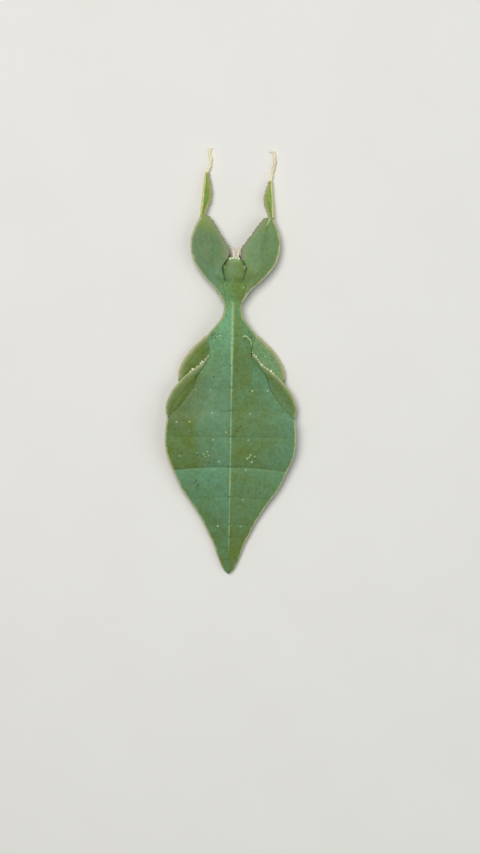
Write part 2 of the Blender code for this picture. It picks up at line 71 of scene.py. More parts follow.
# %% A smooth curve through a table
def curve(table, at):
    """Values at many places on a smooth curve through (place, value) pairs."""
    places, values = np.array(table, float).T
    at = np.clip(np.asarray(at, float), places[0], places[-1])
    steps = np.diff(places)
    slopes = np.diff(values) / steps
    # The curve is level wherever the table turns back
    both = slopes[:-1] * slopes[1:]
    total = np.where(both > 0, slopes[:-1] + slopes[1:], 1)
    bends = np.where(both > 0, 2 * both / total, 0)
    bends = np.concatenate([slopes[:1], bends, slopes[-1:]])
    i = np.clip(np.searchsorted(places, at, side="right") - 1, 0, len(steps) - 1)
    t = (at - places[i]) / steps[i]
    return (values[i] + steps[i] * bends[i] * t * (1 - t) ** 2
            - steps[i] * bends[i + 1] * t * t * (1 - t)
            + (values[i + 1] - values[i]) * t * t * (3 - 2 * t))


def through(points, t):
    """Places on a smooth line through points, with t from 0 at the first to 1 at the last."""
    points = np.asarray(points, float)
    knots = np.linspace(0, 1, len(points))
    return np.stack([curve(np.stack([knots, line], axis=1), t) for line in points.T], axis=1)


def ramp(start, end, at):
    """From 0 at start to 1 at end, eased at both ends."""
    t = np.clip((np.asarray(at, float) - start) / (end - start), 0, 1)
    return t * t * (3 - 2 * t)


def stretch(start, full, fades, end, at):
    """0 outside start and end, and 1 between full and fades."""
    return ramp(start, full, at) * ramp(end, fades, at)


def hump(at, centre, width):
    """A smooth hill of height 1."""
    return np.exp(-((np.asarray(at, float) - centre) / width) ** 2)


# %% [markdown]
# ## Shells
# Nearly every part of the insect is a closed skin drawn as a row of rings. A
# shell keeps its points, its faces and a few facts about each point, such as
# its distance from the rim. The materials read those facts, so colour and
# shape always agree.

# %% Rings to shells, shells to pieces
def shell(rings, facts=None):
    """A closed skin through rings of points, with one point closing each end."""
    rows, around, _ = rings.shape
    ends = np.stack([rings[0].mean(axis=0), rings[-1].mean(axis=0)])
    index = np.arange(rows * around).reshape(rows, around)
    after = np.roll(index, -1, axis=1)
    quads = np.stack([index[:-1], after[:-1], after[1:], index[1:]], axis=-1)
    faces = quads.reshape(-1, 4).tolist()
    first = rows * around
    faces += [(b, a, first) for a, b in zip(index[0].tolist(), after[0].tolist())]
    faces += [(a, b, first + 1) for a, b in zip(index[-1].tolist(), after[-1].tolist())]
    kept = {}
    for name, value in (facts or {}).items():
        value = np.broadcast_to(value, (rows, around)).astype(float)
        kept[name] = np.concatenate([value.ravel(), [value[0].mean(), value[-1].mean()]])
    return np.concatenate([rings.reshape(-1, 3), ends]), faces, kept


def stand(name, data):
    """An object in the scene."""
    made = bpy.data.objects.new(name, data)
    bpy.context.scene.collection.objects.link(made)
    return made


def piece(name, shells, look, nodes=()):
    """One object from its shells, with its facts as attributes, riding on the insect."""
    points, faces, start = [], [], 0
    for spots, sides, _ in shells:
        points.append(spots)
        faces += [[corner + start for corner in side] for side in sides]
        start += len(spots)
    placed = (np.concatenate(points) + (0, TAIL_Y, 0)) * MM
    mesh = bpy.data.meshes.new(name)
    mesh.from_pydata(placed.tolist(), [], faces)
    shaped = bmesh.new()
    shaped.from_mesh(mesh)
    bmesh.ops.recalc_face_normals(shaped, faces=shaped.faces)
    shaped.to_mesh(mesh)
    shaped.free()
    for fact in sorted({key for _, _, facts in shells for key in facts}):
        layer = mesh.attributes.new(fact, "FLOAT", "POINT")
        values = [facts.get(fact, np.zeros(len(spots))) for spots, _, facts in shells]
        layer.data.foreach_set("value", np.concatenate(values).astype(np.float32))
    mesh.materials.append(look)
    mesh.shade_smooth()
    made = stand(name, mesh)
    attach(made, "root")
    if nodes:
        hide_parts(*nodes)
    print(name, "points:", len(placed), "faces:", len(faces))


# %% [markdown]
# ## Sheets with a round rim
# Body and thighs are thin sheets with a small rounded rim. A sheet is a plan
# with a height for its top and for its underside. Near the rim both close on a
# half circle, so the points across the sheet crowd together at its edges.

# %% Plan, top and underside to rings
def sheet_rings(plan, top, under):
    """Rings over the top and back along the underside, which meet at both edges."""
    upper = np.concatenate([plan, top[..., None]], axis=-1)
    lower = np.concatenate([plan, under[..., None]], axis=-1)[:, -2:0:-1]
    return np.concatenate([upper, lower], axis=1)


def both_faces(top, under):
    """A fact about the top and the underside, in the order of the rings."""
    return np.concatenate([top, under[:, -2:0:-1]], axis=1)


def rounding(inside, radius):
    """How far a rounded rim has opened, from 0 at the edge to 1 inside it."""
    near = np.clip(np.asarray(inside, float) / radius, 0, 1)
    return np.sqrt(np.maximum(1 - (1 - near) ** 2, 0))


# %% [markdown]
# ## Tubes, balls and beads
# Shins, feet, feelers and claws are tubes along a bent path of a few points.
# A tube's width changes along it, which gives a jointed foot its waists. Beads
# and grains are stacks of level rings, sunk into the skin that carries them.

# %% Tubes along a path, balls and beads
def tube(path, radius, rows=24, sides=14, flat=1, facts=None):
    """A closed tube, kept above the floor.

    radius is a table over places from 0 to 1, and flat is the height by the width.
    """
    t = np.linspace(0, 1, rows)
    centre = through(path, t)
    ahead = np.gradient(centre, axis=0)
    ahead /= np.linalg.norm(ahead, axis=1)[:, None]
    side = np.cross(ahead, (0, 0, 1))
    side /= np.maximum(np.linalg.norm(side, axis=1)[:, None], 1e-9)
    up = np.cross(side, ahead)
    wide = curve(radius, t)[:, None]
    turn = np.linspace(0, 2 * np.pi, sides, endpoint=False)
    rings = (centre[:, None] + side[:, None] * (wide * np.cos(turn))[..., None]
             + up[:, None] * (flat * wide * np.sin(turn))[..., None])
    rings[..., 2] = np.maximum(rings[..., 2], 0)
    return shell(rings, {"along": t[:, None], **(facts or {})})


def ball(centre, half, rows=30, sides=40, facts=None):
    """An egg-shaped ball, with its rings across the body."""
    lift = np.linspace(-0.995, 0.995, rows)[:, None]
    wide = np.sqrt(1 - lift ** 2)
    turn = np.linspace(0, 2 * np.pi, sides, endpoint=False)
    rings = np.stack([lift + 0 * turn, wide * np.cos(turn), wide * np.sin(turn)], axis=-1)
    return shell(np.array(centre) + np.array(half) * rings, facts)


def bump(centre, wide, level, sides, facts=None):
    """A skin of level rings over a spot, each with its own radius and height."""
    turn = np.linspace(0, 2 * np.pi, sides, endpoint=False)
    x, y, z = centre
    wide = wide[:, None]
    return shell(np.stack([x + wide * np.cos(turn), y + wide * np.sin(turn),
                           z + level[:, None] + 0 * turn], axis=-1), facts)


def dome(centre, radius, height, rows=6, sides=12, facts=None):
    """A low round bead that sits on a surface, with its foot sunk into it."""
    lift = np.linspace(-0.5, 0.97, rows)
    return bump(centre, radius * np.sqrt(1 - lift ** 2), height * lift, sides, facts)


def wart(centre, radius, height, along):
    """A low swelling whose foot runs out softly into the surface."""
    lift = np.linspace(0, 0.985, 7)
    wide = np.concatenate([[radius], radius * np.arccos(2 * lift - 1) / np.pi])
    return bump(centre, wide, height * np.concatenate([[-0.8], lift]), 14, {"along": along})


# %% [markdown]
# ## Paint, and wiring for the materials
# Colours are named for where they sit on the insect and written as the eye
# sees them, from 0 to 255. Shaders work with amounts of light instead, so each
# colour is converted once on its way in.

# %% Colours
def paint(*seen):
    """A colour as a shader wants it."""
    seen = np.array(seen) / 255
    light = np.where(seen <= 0.04045, seen / 12.92, ((seen + 0.055) / 1.055) ** 2.4)
    return (*light.tolist(), 1)


LEAF_TEAL = paint(100, 148, 110)
LEAF_OLIVE = paint(101, 124, 44)
FRECKLE_AND_SHADE_GREEN = paint(58, 84, 44)
PALE_VEIN_AND_GLINT = paint(132, 166, 116)
KEEL_PALE = paint(180, 214, 154)
RIM_CREAM = paint(190, 188, 136)
BODY_RIM = paint(186, 188, 130)
EDGE_PALE = paint(158, 168, 120)
EDGE_DULL = paint(146, 150, 114)
FOOT_CREAM = paint(255, 249, 208)
FOOT_ROSE = paint(206, 172, 146)
BEAD_WHITE = paint(238, 246, 216)
CLAW_BROWN = paint(98, 74, 48)
EYE_CREAM = paint(172, 186, 132)
EYE_UMBER = paint(126, 140, 86)
SHIN_LIME = paint(136, 164, 58)
MOUTH_TAN = paint(150, 150, 98)
DARK_FLECK_AND_SHADE = paint(46, 70, 40)
FLOOR_GREY = paint(250, 248, 243)
print("leaf teal as light:", [round(value, 3) for value in LEAF_TEAL[:3]])

# %% [markdown]
# A material is a graph of small nodes. Each helper adds one node and joins it
# to what it is given: a plain value, another node's output, or the name of a
# fact that the mesh carries. So the graphs further down read like sentences.

# %% Helpers that wire nodes
def put(tree, kind, **settings):
    """A node with its settings."""
    made = tree.nodes.new(kind)
    for name, value in settings.items():
        setattr(made, name, value)
    return made


def feed(socket, source):
    """Joins an output, a fact that the mesh carries, or a plain value to a socket."""
    tree = socket.id_data
    if isinstance(source, str):
        source = put(tree, "ShaderNodeAttribute", attribute_name=source).outputs["Fac"]
    if isinstance(source, bpy.types.NodeSocket):
        tree.links.new(source, socket)
    else:
        socket.default_value = source


def maths(tree, what, *sources, clamp=False):
    """One step of arithmetic, such as MULTIPLY."""
    made = put(tree, "ShaderNodeMath", operation=what, use_clamp=clamp)
    for socket, source in zip(made.inputs, sources):
        feed(socket, source)
    return made.outputs[0]


def times(tree, first, *others):
    """A product."""
    for other in others:
        first = maths(tree, "MULTIPLY", first, other)
    return first


def mixed(tree, amount, low, high, way="MIX"):
    """A colour between two others."""
    made = put(tree, "ShaderNodeMix", data_type="RGBA", blend_type=way)
    made.clamp_factor = True
    feed(made.inputs[0], amount)
    feed(made.inputs[6], low)
    feed(made.inputs[7], high)
    return made.outputs[2]


def band(tree, value, start, end, low=0, high=1):
    """Maps a stretch of values smoothly onto another."""
    made = put(tree, "ShaderNodeMapRange", interpolation_type="SMOOTHSTEP")
    for socket, source in zip(made.inputs, (value, start, end, low, high)):
        feed(socket, source)
    return made.outputs[0]


def texture(tree, kind, scale, **settings):
    """A texture laid on in the object's own space."""
    made = put(tree, "ShaderNodeTex" + kind, **settings)
    feed(made.inputs["Vector"], put(tree, "ShaderNodeTexCoord").outputs["Object"])
    made.inputs["Scale"].default_value = scale
    return made


def noise(tree, scale, detail=2, rough=0.5):
    """Noise that drifts between 0 and 1."""
    made = texture(tree, "Noise", scale)
    made.inputs["Detail"].default_value = detail
    made.inputs["Roughness"].default_value = rough
    return made.outputs[0]


def cells(tree, scale, feature="F1"):
    """The distance to the next cell's middle, or to its edge."""
    return texture(tree, "Voronoi", scale, feature=feature).outputs["Distance"]


def group(name, inputs, outputs):
    """An empty node group with its named sockets, and its two ends."""
    tree = bpy.data.node_groups.new(name, "ShaderNodeTree")
    for label, kind, value in inputs:
        socket = tree.interface.new_socket(label, in_out="INPUT", socket_type="NodeSocket" + kind)
        socket.default_value = value
    for label, kind in outputs:
        tree.interface.new_socket(label, in_out="OUTPUT", socket_type="NodeSocket" + kind)
    return tree, put(tree, "NodeGroupInput").outputs, put(tree, "NodeGroupOutput").inputs


def use(tree, made, **values):
    """Places a group in a material with its own values."""
    placed = put(tree, "ShaderNodeGroup", node_tree=made)
    for name, value in values.items():
        feed(placed.inputs[name], value)
    return placed.outputs


# %% [markdown]
# ## Leaf tissue
# The skin copies a leaf: two greens that drift into each other, a fine net of
# pale veins, and dark freckles. All green parts share this group. Its tone
# says where the skin is bluer (above 0) or more olive (below 0).

# %% The leaf tissue group
tissue, given, result = group(
    "leaf_tissue",
    [("Fresh", "Color", LEAF_TEAL), ("Dull", "Color", LEAF_OLIVE), ("Tone", "Float", 0),
     ("Net", "Float", 0.2), ("Freckles", "Float", 0.5)],
    [("Colour", "Color"), ("Height", "Float")])
drift = maths(tissue, "SUBTRACT", noise(tissue, 420, 3), 0.5)
lean = maths(tissue, "MULTIPLY_ADD", drift, 1.1, 0.5)
share = maths(tissue, "ADD", lean, times(tissue, given["Tone"], 0.5), clamp=True)
blend = mixed(tissue, share, given["Dull"], given["Fresh"])
cloud = band(tissue, noise(tissue, 1700, 4, 0.65), 0.3, 0.7, 0.86, 1.13)
blend = mixed(tissue, 1, blend, cloud, "MULTIPLY")
net_line = band(tissue, cells(tissue, 1500, "DISTANCE_TO_EDGE"), 0, 0.09, 1, 0)
patchy = band(tissue, noise(tissue, 500), 0.35, 0.65)
blend = mixed(tissue, times(tissue, net_line, patchy, given["Net"]), blend, PALE_VEIN_AND_GLINT)
dots = band(tissue, cells(tissue, 2400), 0.12, 0.24, 1, 0)
few = band(tissue, noise(tissue, 700), 0.48, 0.6)
freckled = mixed(tissue, times(tissue, dots, few, given["Freckles"]), blend, FRECKLE_AND_SHADE_GREEN)
feed(result["Colour"], freckled)
grain = times(tissue, noise(tissue, 7000, 3, 0.6), 0.5)
relief = maths(tissue, "ADD", grain, times(tissue, net_line, 0.3))
feed(result["Height"], maths(tissue, "SUBTRACT", relief, times(tissue, dots, 0.25)))
print("leaf tissue nodes:", len(tissue.nodes))

# %% [markdown]
# ## The cream rim
# A narrow cream line edges body and thighs, like the thick margin of a leaf.
# It follows the distance that the mesh carries, so it keeps its width round
# every bend, and a little noise stops it from looking drawn.

# %% The rim group
rim_line, given, result = group(
    "cream_rim",
    [("Base", "Color", LEAF_OLIVE), ("Rim", "Color", RIM_CREAM), ("Distance", "Float", 1),
     ("Width", "Float", 0.25)],
    [("Colour", "Color")])
wobble = band(rim_line, noise(rim_line, 1300), 0.3, 0.7, 0.75, 1.25)
outer = maths(rim_line, "DIVIDE", given["Distance"], times(rim_line, given["Width"], wobble))
mask = band(rim_line, outer, 0.7, 1.25, 1, 0)
feed(result["Colour"], mixed(rim_line, mask, given["Base"], given["Rim"]))
print("rim nodes:", len(rim_line.nodes))

# %% [markdown]
# ## Materials of the body and legs
# The body adds a pale keel, painted shade in the creases and dark ticks of painted shade where the plates
# meet, pale streaks that are partly painted highlights, and the rim. The thighs use the same tissue and
# rim with other greens, and a second line, the fringe, along their inner edge.

# %% Body and leg materials
def new_look(name, roughness, coat=0):
    """An empty material with its shader ready."""
    made = bpy.data.materials.new(name)
    made.use_nodes = True
    shader = made.node_tree.nodes["Principled BSDF"]
    shader.inputs["Roughness"].default_value = roughness
    shader.inputs["Specular IOR Level"].default_value = 0.38
    shader.inputs["Coat Weight"].default_value = coat
    shader.inputs["Coat Roughness"].default_value = 0.3
    return made, made.node_tree, shader


def finish_look(tree, shader, colour, height, deep, strength=0.6):
    """Joins colour and relief to the shader. The relief is deep metres high."""
    feed(shader.inputs["Base Color"], colour)
    relief = put(tree, "ShaderNodeBump")
    relief.inputs["Strength"].default_value = strength
    relief.inputs["Distance"].default_value = deep
    feed(relief.inputs["Height"], height)
    feed(shader.inputs["Normal"], relief.outputs[0])


def flesh(tree, **values):
    """Leaf tissue under the painted light and shade that the mesh carries, and its height."""
    made = use(tree, tissue, Tone="tone", **values)
    lit = maths(tree, "ADD", "shade", 1)
    return mixed(tree, 1, made["Colour"], lit, "MULTIPLY"), made["Height"]


def edged(tree, base, rim, name, width):
    """A cream line along the edge from which the named fact counts."""
    return use(tree, rim_line, Base=base, Rim=rim, Distance=name, Width=width)["Colour"]


def body_look():
    """The back's skin, with painted shade in its creases and ticks, painted highlights, keel and rim."""
    made, tree, shader = new_look("leaf_body", 0.5)
    colour, height = flesh(tree, Net=0.2, Freckles=0.8)
    broken = band(tree, noise(tree, 900, 3), 0.42, 0.62, 0.05, 0.8)
    worn = band(tree, noise(tree, 1600, 3), 0.35, 0.55, 0.55, 1)
    # Painted shade in the creases where the plates meet
    colour = mixed(tree, times(tree, "crease", broken), colour, FRECKLE_AND_SHADE_GREEN)
    # Pale streaks, partly painted highlights along the plate lines
    colour = mixed(tree, "pale", colour, PALE_VEIN_AND_GLINT)
    colour = mixed(tree, times(tree, "keel", worn), colour, KEEL_PALE)
    # Painted shade at the ticks where the plate lines cross the keel
    colour = mixed(tree, "dark", colour, DARK_FLECK_AND_SHADE)
    finish_look(tree, shader, edged(tree, colour, BODY_RIM, "rim", 0.26), height, 0.00003)
    return made


def fade(tree, base, name, colour, reach, amount):
    """Lets a colour fade inwards from an edge."""
    return mixed(tree, band(tree, name, reach / 5, reach, amount, 0), base, colour)


def thigh_look(name, fresh, dull, rim, width, fringe, fringe_width, outer_fade, inner_fade):
    """A thigh's skin, with a line along each edge. A fade is its reach and its amount."""
    made, tree, shader = new_look(name, 0.48)
    colour, height = flesh(tree, Fresh=fresh, Dull=dull, Net=0.18, Freckles=0.3)
    colour = mixed(tree, "lime", colour, SHIN_LIME)
    colour = fade(tree, colour, "rim", EDGE_PALE, *outer_fade)
    colour = fade(tree, colour, "fringe", EDGE_DULL, *inner_fade)
    colour = edged(tree, colour, fringe, "fringe", fringe_width)
    finish_look(tree, shader, edged(tree, colour, rim, "rim", width), height, 0.00003)
    return made


BODY_LOOK = body_look()
FORE_LOOK = thigh_look("leaf_foreleg", paint(102, 145, 96), paint(108, 130, 60), RIM_CREAM, 0.3,
                       paint(142, 142, 108), 0.3, (0.8, 0.25), (1.7, 0.55))
SHIN_LOOK = thigh_look("leaf_shin", SHIN_LIME, paint(120, 156, 72), paint(222, 216, 146), 0.32,
                       paint(172, 166, 112), 0.4, (0.5, 0), (0.5, 0))
MID_LOOK = thigh_look("leaf_midleg", paint(118, 158, 104), paint(103, 126, 38), RIM_CREAM, 0.36,
                      LEAF_OLIVE, 0.1, (1.25, 0.8), (0.5, 0))
HIND_LOOK = thigh_look("leaf_hindleg", paint(98, 140, 86), paint(94, 117, 34),
                       paint(178, 186, 126), 0.3, paint(136, 172, 122), 0.22, (1, 0.6), (0.5, 0))

# %% [markdown]
# ## Materials of the small parts
# Feet, feelers and beads are slightly glossy horn, which changes colour along
# the part: feet from cream to rose, claws to brown at their tips. The eye is a
# field of tiny facets under a clear coat.

# %% Small parts' materials
def horn_look(name, base, tip, start, end, roughness=0.4, size=3000):
    """Horn that changes colour along the part."""
    made, tree, shader = new_look(name, roughness, 0.15)
    drift = times(tree, maths(tree, "SUBTRACT", noise(tree, size), 0.5), 0.4)
    spread = maths(tree, "ADD", "along", drift)
    colour = mixed(tree, band(tree, spread, start, end), base, tip)
    colour = mixed(tree, band(tree, noise(tree, 2 * size, 3), 0.45, 0.7, 0, 0.35), colour, tip)
    finish_look(tree, shader, colour, noise(tree, 4 * size), 0.00002)
    return made


def eye_look():
    """Tiny facets, dark in drifting bands."""
    made, tree, shader = new_look("eye_facets", 0.22, 0.6)
    bands = band(tree, noise(tree, 900), 0.42, 0.6)
    colour = mixed(tree, bands, EYE_CREAM, EYE_UMBER)
    facets = cells(tree, 22000)
    colour = mixed(tree, band(tree, facets, 0.35, 0.6, 0, 0.45), colour, EYE_UMBER)
    finish_look(tree, shader, colour, maths(tree, "SUBTRACT", 1, facets), 0.00001)
    return made


FOOT_LOOK = horn_look("foot_cream", FOOT_CREAM, FOOT_ROSE, 0.65, 1.35)
FEELER_LOOK = horn_look("feeler_cream", paint(250, 236, 214), paint(214, 190, 156), 0.8, 1.4)
BEAD_LOOK = horn_look("bead_cream", BEAD_WHITE, paint(200, 206, 150), 0.5, 1.2)
DOT_LOOK = horn_look("dot_pale", paint(182, 206, 158), paint(140, 178, 118), 0.4, 1.1)
RIDGE_LOOK = horn_look("ridge_green", paint(184, 214, 160), paint(118, 156, 104), 0.5, 1.3)
KNEE_LOOK = horn_look("knee_cream", paint(196, 208, 150), paint(146, 170, 118), 0.4, 1.2)
FLECK_LOOK = horn_look("fleck_dark", DARK_FLECK_AND_SHADE, FRECKLE_AND_SHADE_GREEN, 0.5, 1.2, 0.6)
CLAW_LOOK = horn_look("claw_brown", FOOT_CREAM, CLAW_BROWN, 0.75, 1.2, 0.3)
MOUTH_LOOK = horn_look("mouth_tan", MOUTH_TAN, paint(112, 100, 60), 0.4, 1)
EYE_LOOK = eye_look()
print("materials:", len(bpy.data.materials))

# %% [markdown]
# ## The body's tables
# From above, the body is an egg with a pointed tail, then a narrow chest, a
# small neck shield and the head. Its back is roofed, from a keel in the middle
# down to thin margins. Each table runs in one line from tail to face over the
# plates of the solid model, so that the skin shows no seam.

# %% Outline and heights, in millimetres from the tail tip
OUTLINE = (
    (0.2, 0.22), (0.35, 0.5), (0.75, 0.88), (1.6, 1.35), (3.4, 2.1), (5.2, 2.75), (7.1, 3.7),
    (9.3, 4.8), (12.1, 6.6), (15, 8.6), (17.5, 9.8), (19.3, 10.6), (21, 11.2), (23, 11.5),
    (25.5, 11.4), (27, 11.2), (27.4, 10.8), (28.9, 9.2), (30.4, 8), (32.4, 6.8), (34.9, 5.8),
    (36.2, 4.75), (37.2, 4.1), (38.2, 3.7), (39.2, 3.6), (40, 3.85), (40.8, 4.1), (41.8, 4.15),
    (42.9, 3.4), (43.7, 2.75), (44.6, 2.1), (45.3, 1.78), (47.3, 1.45), (47.8, 1.42), (49, 1.66),
    (50.2, 1.98), (50.9, 1.8), (51.3, 1.64), (51.9, 1.77), (52.5, 1.88), (53.3, 1.9), (53.75, 1.82),
    (54.2, 1.58), (54.8, 1.22), (55.2, 1), (55.4, 0.8), (55.5, 0.5), (55.53, 0.2),
)
CENTRE_LINE = ((35, 0), (38.8, -0.33), (40, -0.3), (41.8, -0.08), (44, 0), (47, 0),
               (48.5, 0.1), (51.5, 0.15), (55.5, 0.15))
RIDGE_TOP = (
    (0, 1.2), (3, 1.9), (8, 2.8), (15, 3.7), (20, 4.25), (26, 4.7),
    (31, 4.85), (36.4, 4.75), (41.5, 4.5), (44.5, 4.05), (47.4, 3.75), (51.1, 3.7),
)
MARGIN_TOP = (
    (0, 0.9), (5, 1.1), (10, 1.4), (15, 1.85), (20, 2.5), (24, 3.1),
    (27, 3.45), (30, 2.98), (36, 2.95), (38.7, 2.95), (39.8, 2.6),
    (41.5, 2.45), (43, 2.6), (45, 2.9), (47, 2.95), (48.6, 2.72), (51.1, 2.74),
)
BELLY_HALF = (
    (0, 0.35), (4, 1), (9, 2.1), (14, 2.6), (28, 2.5), (33, 1.8),
    (36.4, 1.5), (41, 1.7), (43, 1.5), (45, 1.1), (51.1, 0.9),
)
BELLY_LOW = ((0, 0), (35.8, 0), (37, 0.4), (46.8, 0.4), (48.2, 0.9), (51.1, 0.9))
RIM_RADIUS = ((0, 0.14), (41.8, 0.14), (43.5, 0.26), (47.2, 0.36), (48.4, 0.14), (51.1, 0.14))
SHEET = ((0, 0.34), (27, 0.34), (30, 0.28), (41.8, 0.28), (43.5, 0.6), (47.2, 0.85), (48.4, 0.3),
         (51.1, 0.3))
HEAD_LOW = ((51, 1.35), (51.9, 1.35), (52.8, 1.3), (53.6, 1.35), (54.2, 1.5), (54.8, 1.75),
            (55.25, 2), (55.42, 2.15), (55.53, 2.45))
HEAD_TOP = ((51, 3.6), (51.3, 3.48), (51.9, 3.55), (52.8, 3.6), (53.6, 3.55), (54.2, 3.45),
            (54.8, 3.3), (55.25, 3.1), (55.42, 2.95), (55.53, 2.7))
STRONG_LINE = (18.7, 0.75, 0.075, 0.35)
# Where plates meet: place, how far the line bends back at the margins, step height, how dark its painted
# crease shade is
PLATE_LINES = (
    (50.7, -0.5, 0.02, 0.2), (48.3, 0.2, 0.02, 0.35), (47.85, 0.1, 0.03, 0.45),
    (41.55, 0.3, 0.02, 0.25), (36.4, 0.2, 0.02, 0.25), (32.5, 0.2, 0.02, 0.3),
    (28.5, 0.25, 0.02, 0.3), (24, 0.1, 0.025, 0.4), STRONG_LINE,
    (13.5, 0.5, 0.025, 0.3), (8.75, 0.4, 0.02, 0.25), (6.5, 0.3, 0.02, 0.2),
    (4.5, 0.25, 0.02, 0.2), (2.5, 0.2, 0.02, 0.15),
)
KEEL_WIDTH = ((3, 0.1), (20, 0.15), (36, 0.2), (47.4, 0.26))
# How pale the keel is along the back: it fades ahead of every second plate line
KEEL_PALENESS = (
    (3, 0.55), (6, 0.72), (8.5, 0.84), (11, 0.44), (14, 0.76), (17, 0.96), (20, 0.5),
    (23, 0.82), (26, 0.74), (29, 0.5), (32, 0.75), (35, 0.82), (38, 0.95), (41, 1),
    (44.5, 1), (47, 0.84),
)
print("body length:", OUTLINE[-1][0] - OUTLINE[0][0], "widest half:", max(half for _, half in OUTLINE))

# %% [markdown]
# ## The back's height
# One function gives the height of the back at any place. The skin is made with
# it, and dots and flecks are set down on it afterwards. Each plate's hind edge
# lies a little over the next plate, as roof tiles do.

# %% Height of the back, and its marks
def half_width(y):
    """Half the body's width."""
    return curve(OUTLINE, y)


def plate_steps(y, out):
    """How high the plates step, how near a line is, and how much darker a plate's hind edge is."""
    height, line, shade = (np.zeros_like(y) for _ in range(3))
    for place, bend, step, dark in PLATE_LINES:
        ahead = y - (place - bend * out ** 2)
        height += step * np.tanh(ahead / 0.05) * np.exp(-np.abs(ahead) / 1.2)
        # Most lines on the abdomen and chest fade away from the keel
        seen = 1 if step > 0.07 or place > 47 else 0.3 + 0.7 * hump(out, 0, 0.09)
        line = np.maximum(line, hump(ahead, 0, 0.085) * dark * seen)
        shade -= 2 * step * np.tanh(ahead / 0.08) * np.exp(-np.abs(ahead) / 2.2)
    return height, line, shade


def strong_line(out):
    """Where the boldest plate line runs, from the keel out to the margins."""
    return STRONG_LINE[0] - STRONG_LINE[1] * out ** 2


def keel_mask(x, y):
    """1 on the raised line down the middle of the back, from tail to neck."""
    return hump(x, 0, curve(KEEL_WIDTH, y)) * stretch(3.2, 5.5, 47.2, 47.7, y)


def back_height(x, y):
    """The height of the back at many places."""
    half = half_width(y)
    out = np.clip(np.abs(x - curve(CENTRE_LINE, y)) / half, 0, 1)
    margin = curve(MARGIN_TOP, y)
    roof = margin + (curve(RIDGE_TOP, y) - margin) * (1 - out) ** 1.15
    steps, _, _ = plate_steps(y, out)
    roof = roof + steps * ramp(1, 0.85, out) + 0.13 * keel_mask(x, y)
    waves = 0.035 * np.sin(1.9 * x + 0.6 * y) * np.sin(1.3 * y - 0.5 * x)
    return roof + waves * ramp(0.05, 0.3, out) * ramp(47, 40, y)


def back_level(x, y):
    """The height of the back at one spot."""
    return float(back_height(*np.array([[x], [y]], float))[0])


# %% [markdown]
# ## Head and neck
# The head is a rounded box that narrows towards the face. The eyes sit at its
# widest corners, so the skin sinks in a shallow ring round each of them and
# rises again in a fine lid.

# %% Eye places and the ring round each eye
HEAD_X = 0.15
EYE_HALF = (0.36, 0.5, 0.5)
EYE_PLACE = (1.62, 53.6, 2.74)
EYES = {side: mirrored([EYE_PLACE], sign, HEAD_X)[0] for side, sign in SIDES.items()}


def sink_round_eyes(rings):
    """Presses a fine groove and a lid round each eye into the head's skin."""
    for centre in EYES.values():
        far = np.linalg.norm((rings - np.array(centre)) / np.array(EYE_HALF), axis=-1)
        inward = np.array((HEAD_X, 53.2, 2.5)) - rings
        inward /= np.maximum(np.linalg.norm(inward, axis=-1)[..., None], 1e-6)
        depth = 0.06 * hump(far, 1.12, 0.14) - 0.04 * hump(far, 1.42, 0.16)
        rings += inward * (depth * ramp(51.6, 52.4, rings[..., 1]))[..., None]
    return rings


def head_section(out, low, high, power=3):
    """Top and underside of the head, a rounded box in section."""
    open_by = np.maximum(1 - out ** power, 0) ** (1 / power)
    middle = (low + high) / 2
    return middle + (high - low) / 2 * open_by, middle - (high - low) / 2 * open_by


# %% [markdown]
# ## The greens of the back
# The back isn't one green, partly from a painted reflection of the sky beside the keel, and painted light
# makes it paler towards the head. A painted picture could carry that, but here every patch is a soft ramp
# across the body times a soft stretch along it. So patches blend, and each can be moved on its own.

# %% Tone, painted reflection and painted light of the back
TONE_LEFT = 0.9
TONE_RIGHT = 0.75
OLIVE_FROM = ((17, 5), (21.5, 4.9), (26, 6.1), (31, 5.3), (35, 4.9))


def body_tone(x, y, half):
    """Where the back is blue-green (above 0) and where it is olive (below 0)."""
    across = x / half
    out = np.abs(across)
    left = ramp(0.35, -0.35, x)
    ahead = y - strong_line(out)
    # Beside the keel the left is blue-green and the right olive, partly the leaf's own colour and partly a
    # painted reflection of the sky on the roofed back
    tone = np.where(x < 0, TONE_LEFT, -TONE_RIGHT) * np.tanh(out * 14) * np.exp(-out * 2.2)
    # Towards the right margin, abdomen and chest are blue-green again, on the abdomen partly a painted
    # reflection of the sky
    tone += 0.75 * ramp(0.45, 0.95, across) * stretch(14, 22, 35, 39, y)
    tone += 0.7 * ramp(0.3, 0.75, across) * stretch(40, 42.5, 46, 47.5, y)
    # The left of the chest is bluest, but for its front, and the right more olive
    tone += 0.5 * left * stretch(34, 44, 45, 47.6, y) - 0.45 * left * ramp(45.5, 47.3, y)
    tone -= 0.3 * (1 - left) * ramp(40, 46, y)
    # The left margin is olive ahead of the bold plate line
    olive = ramp(1.4, -1.8, x + curve(OLIVE_FROM, y)) * ramp(-0.1, 0.1, ahead) * ramp(38, 34, y)
    # Neck shield and head have greens of their own
    chest_end = ramp(49, 46.8, y)
    shield = (0.1 - 0.83 * ramp(-1, 1.2, x)) * ramp(52.2, 50.9, y)
    head = -0.4 - 0.3 * ramp(-0.4, 0.8, x) - 0.7 * ramp(53.6, 54.6, y)
    # Behind the bold line it is bluer for a stretch, and the tail's end is olive
    return ((tone - 0.9 * olive) * chest_end + 0.5 * np.exp(-np.abs(18.2 - y) / 4) * (ahead < 0)
            - 0.7 * ramp(12, 2, y) + (1 - chest_end) * (shield + head * ramp(50.9, 52.2, y)) + 0.05)


# Painted shade in shallow hollows over the hips: place across and along, width, how dark
HIP_PAINTED_SHADE = (
    (2.15, 41.15, 0.45, 0.3), (3.2, 41.4, 0.3, 0.4), (2.9, 40.4, 0.35, 0.15),
    (-3.5, 41.75, 0.35, 0.35), (-3.3, 42.1, 0.3, 0.2), (-2.7, 40.2, 0.4, 0.12),
)


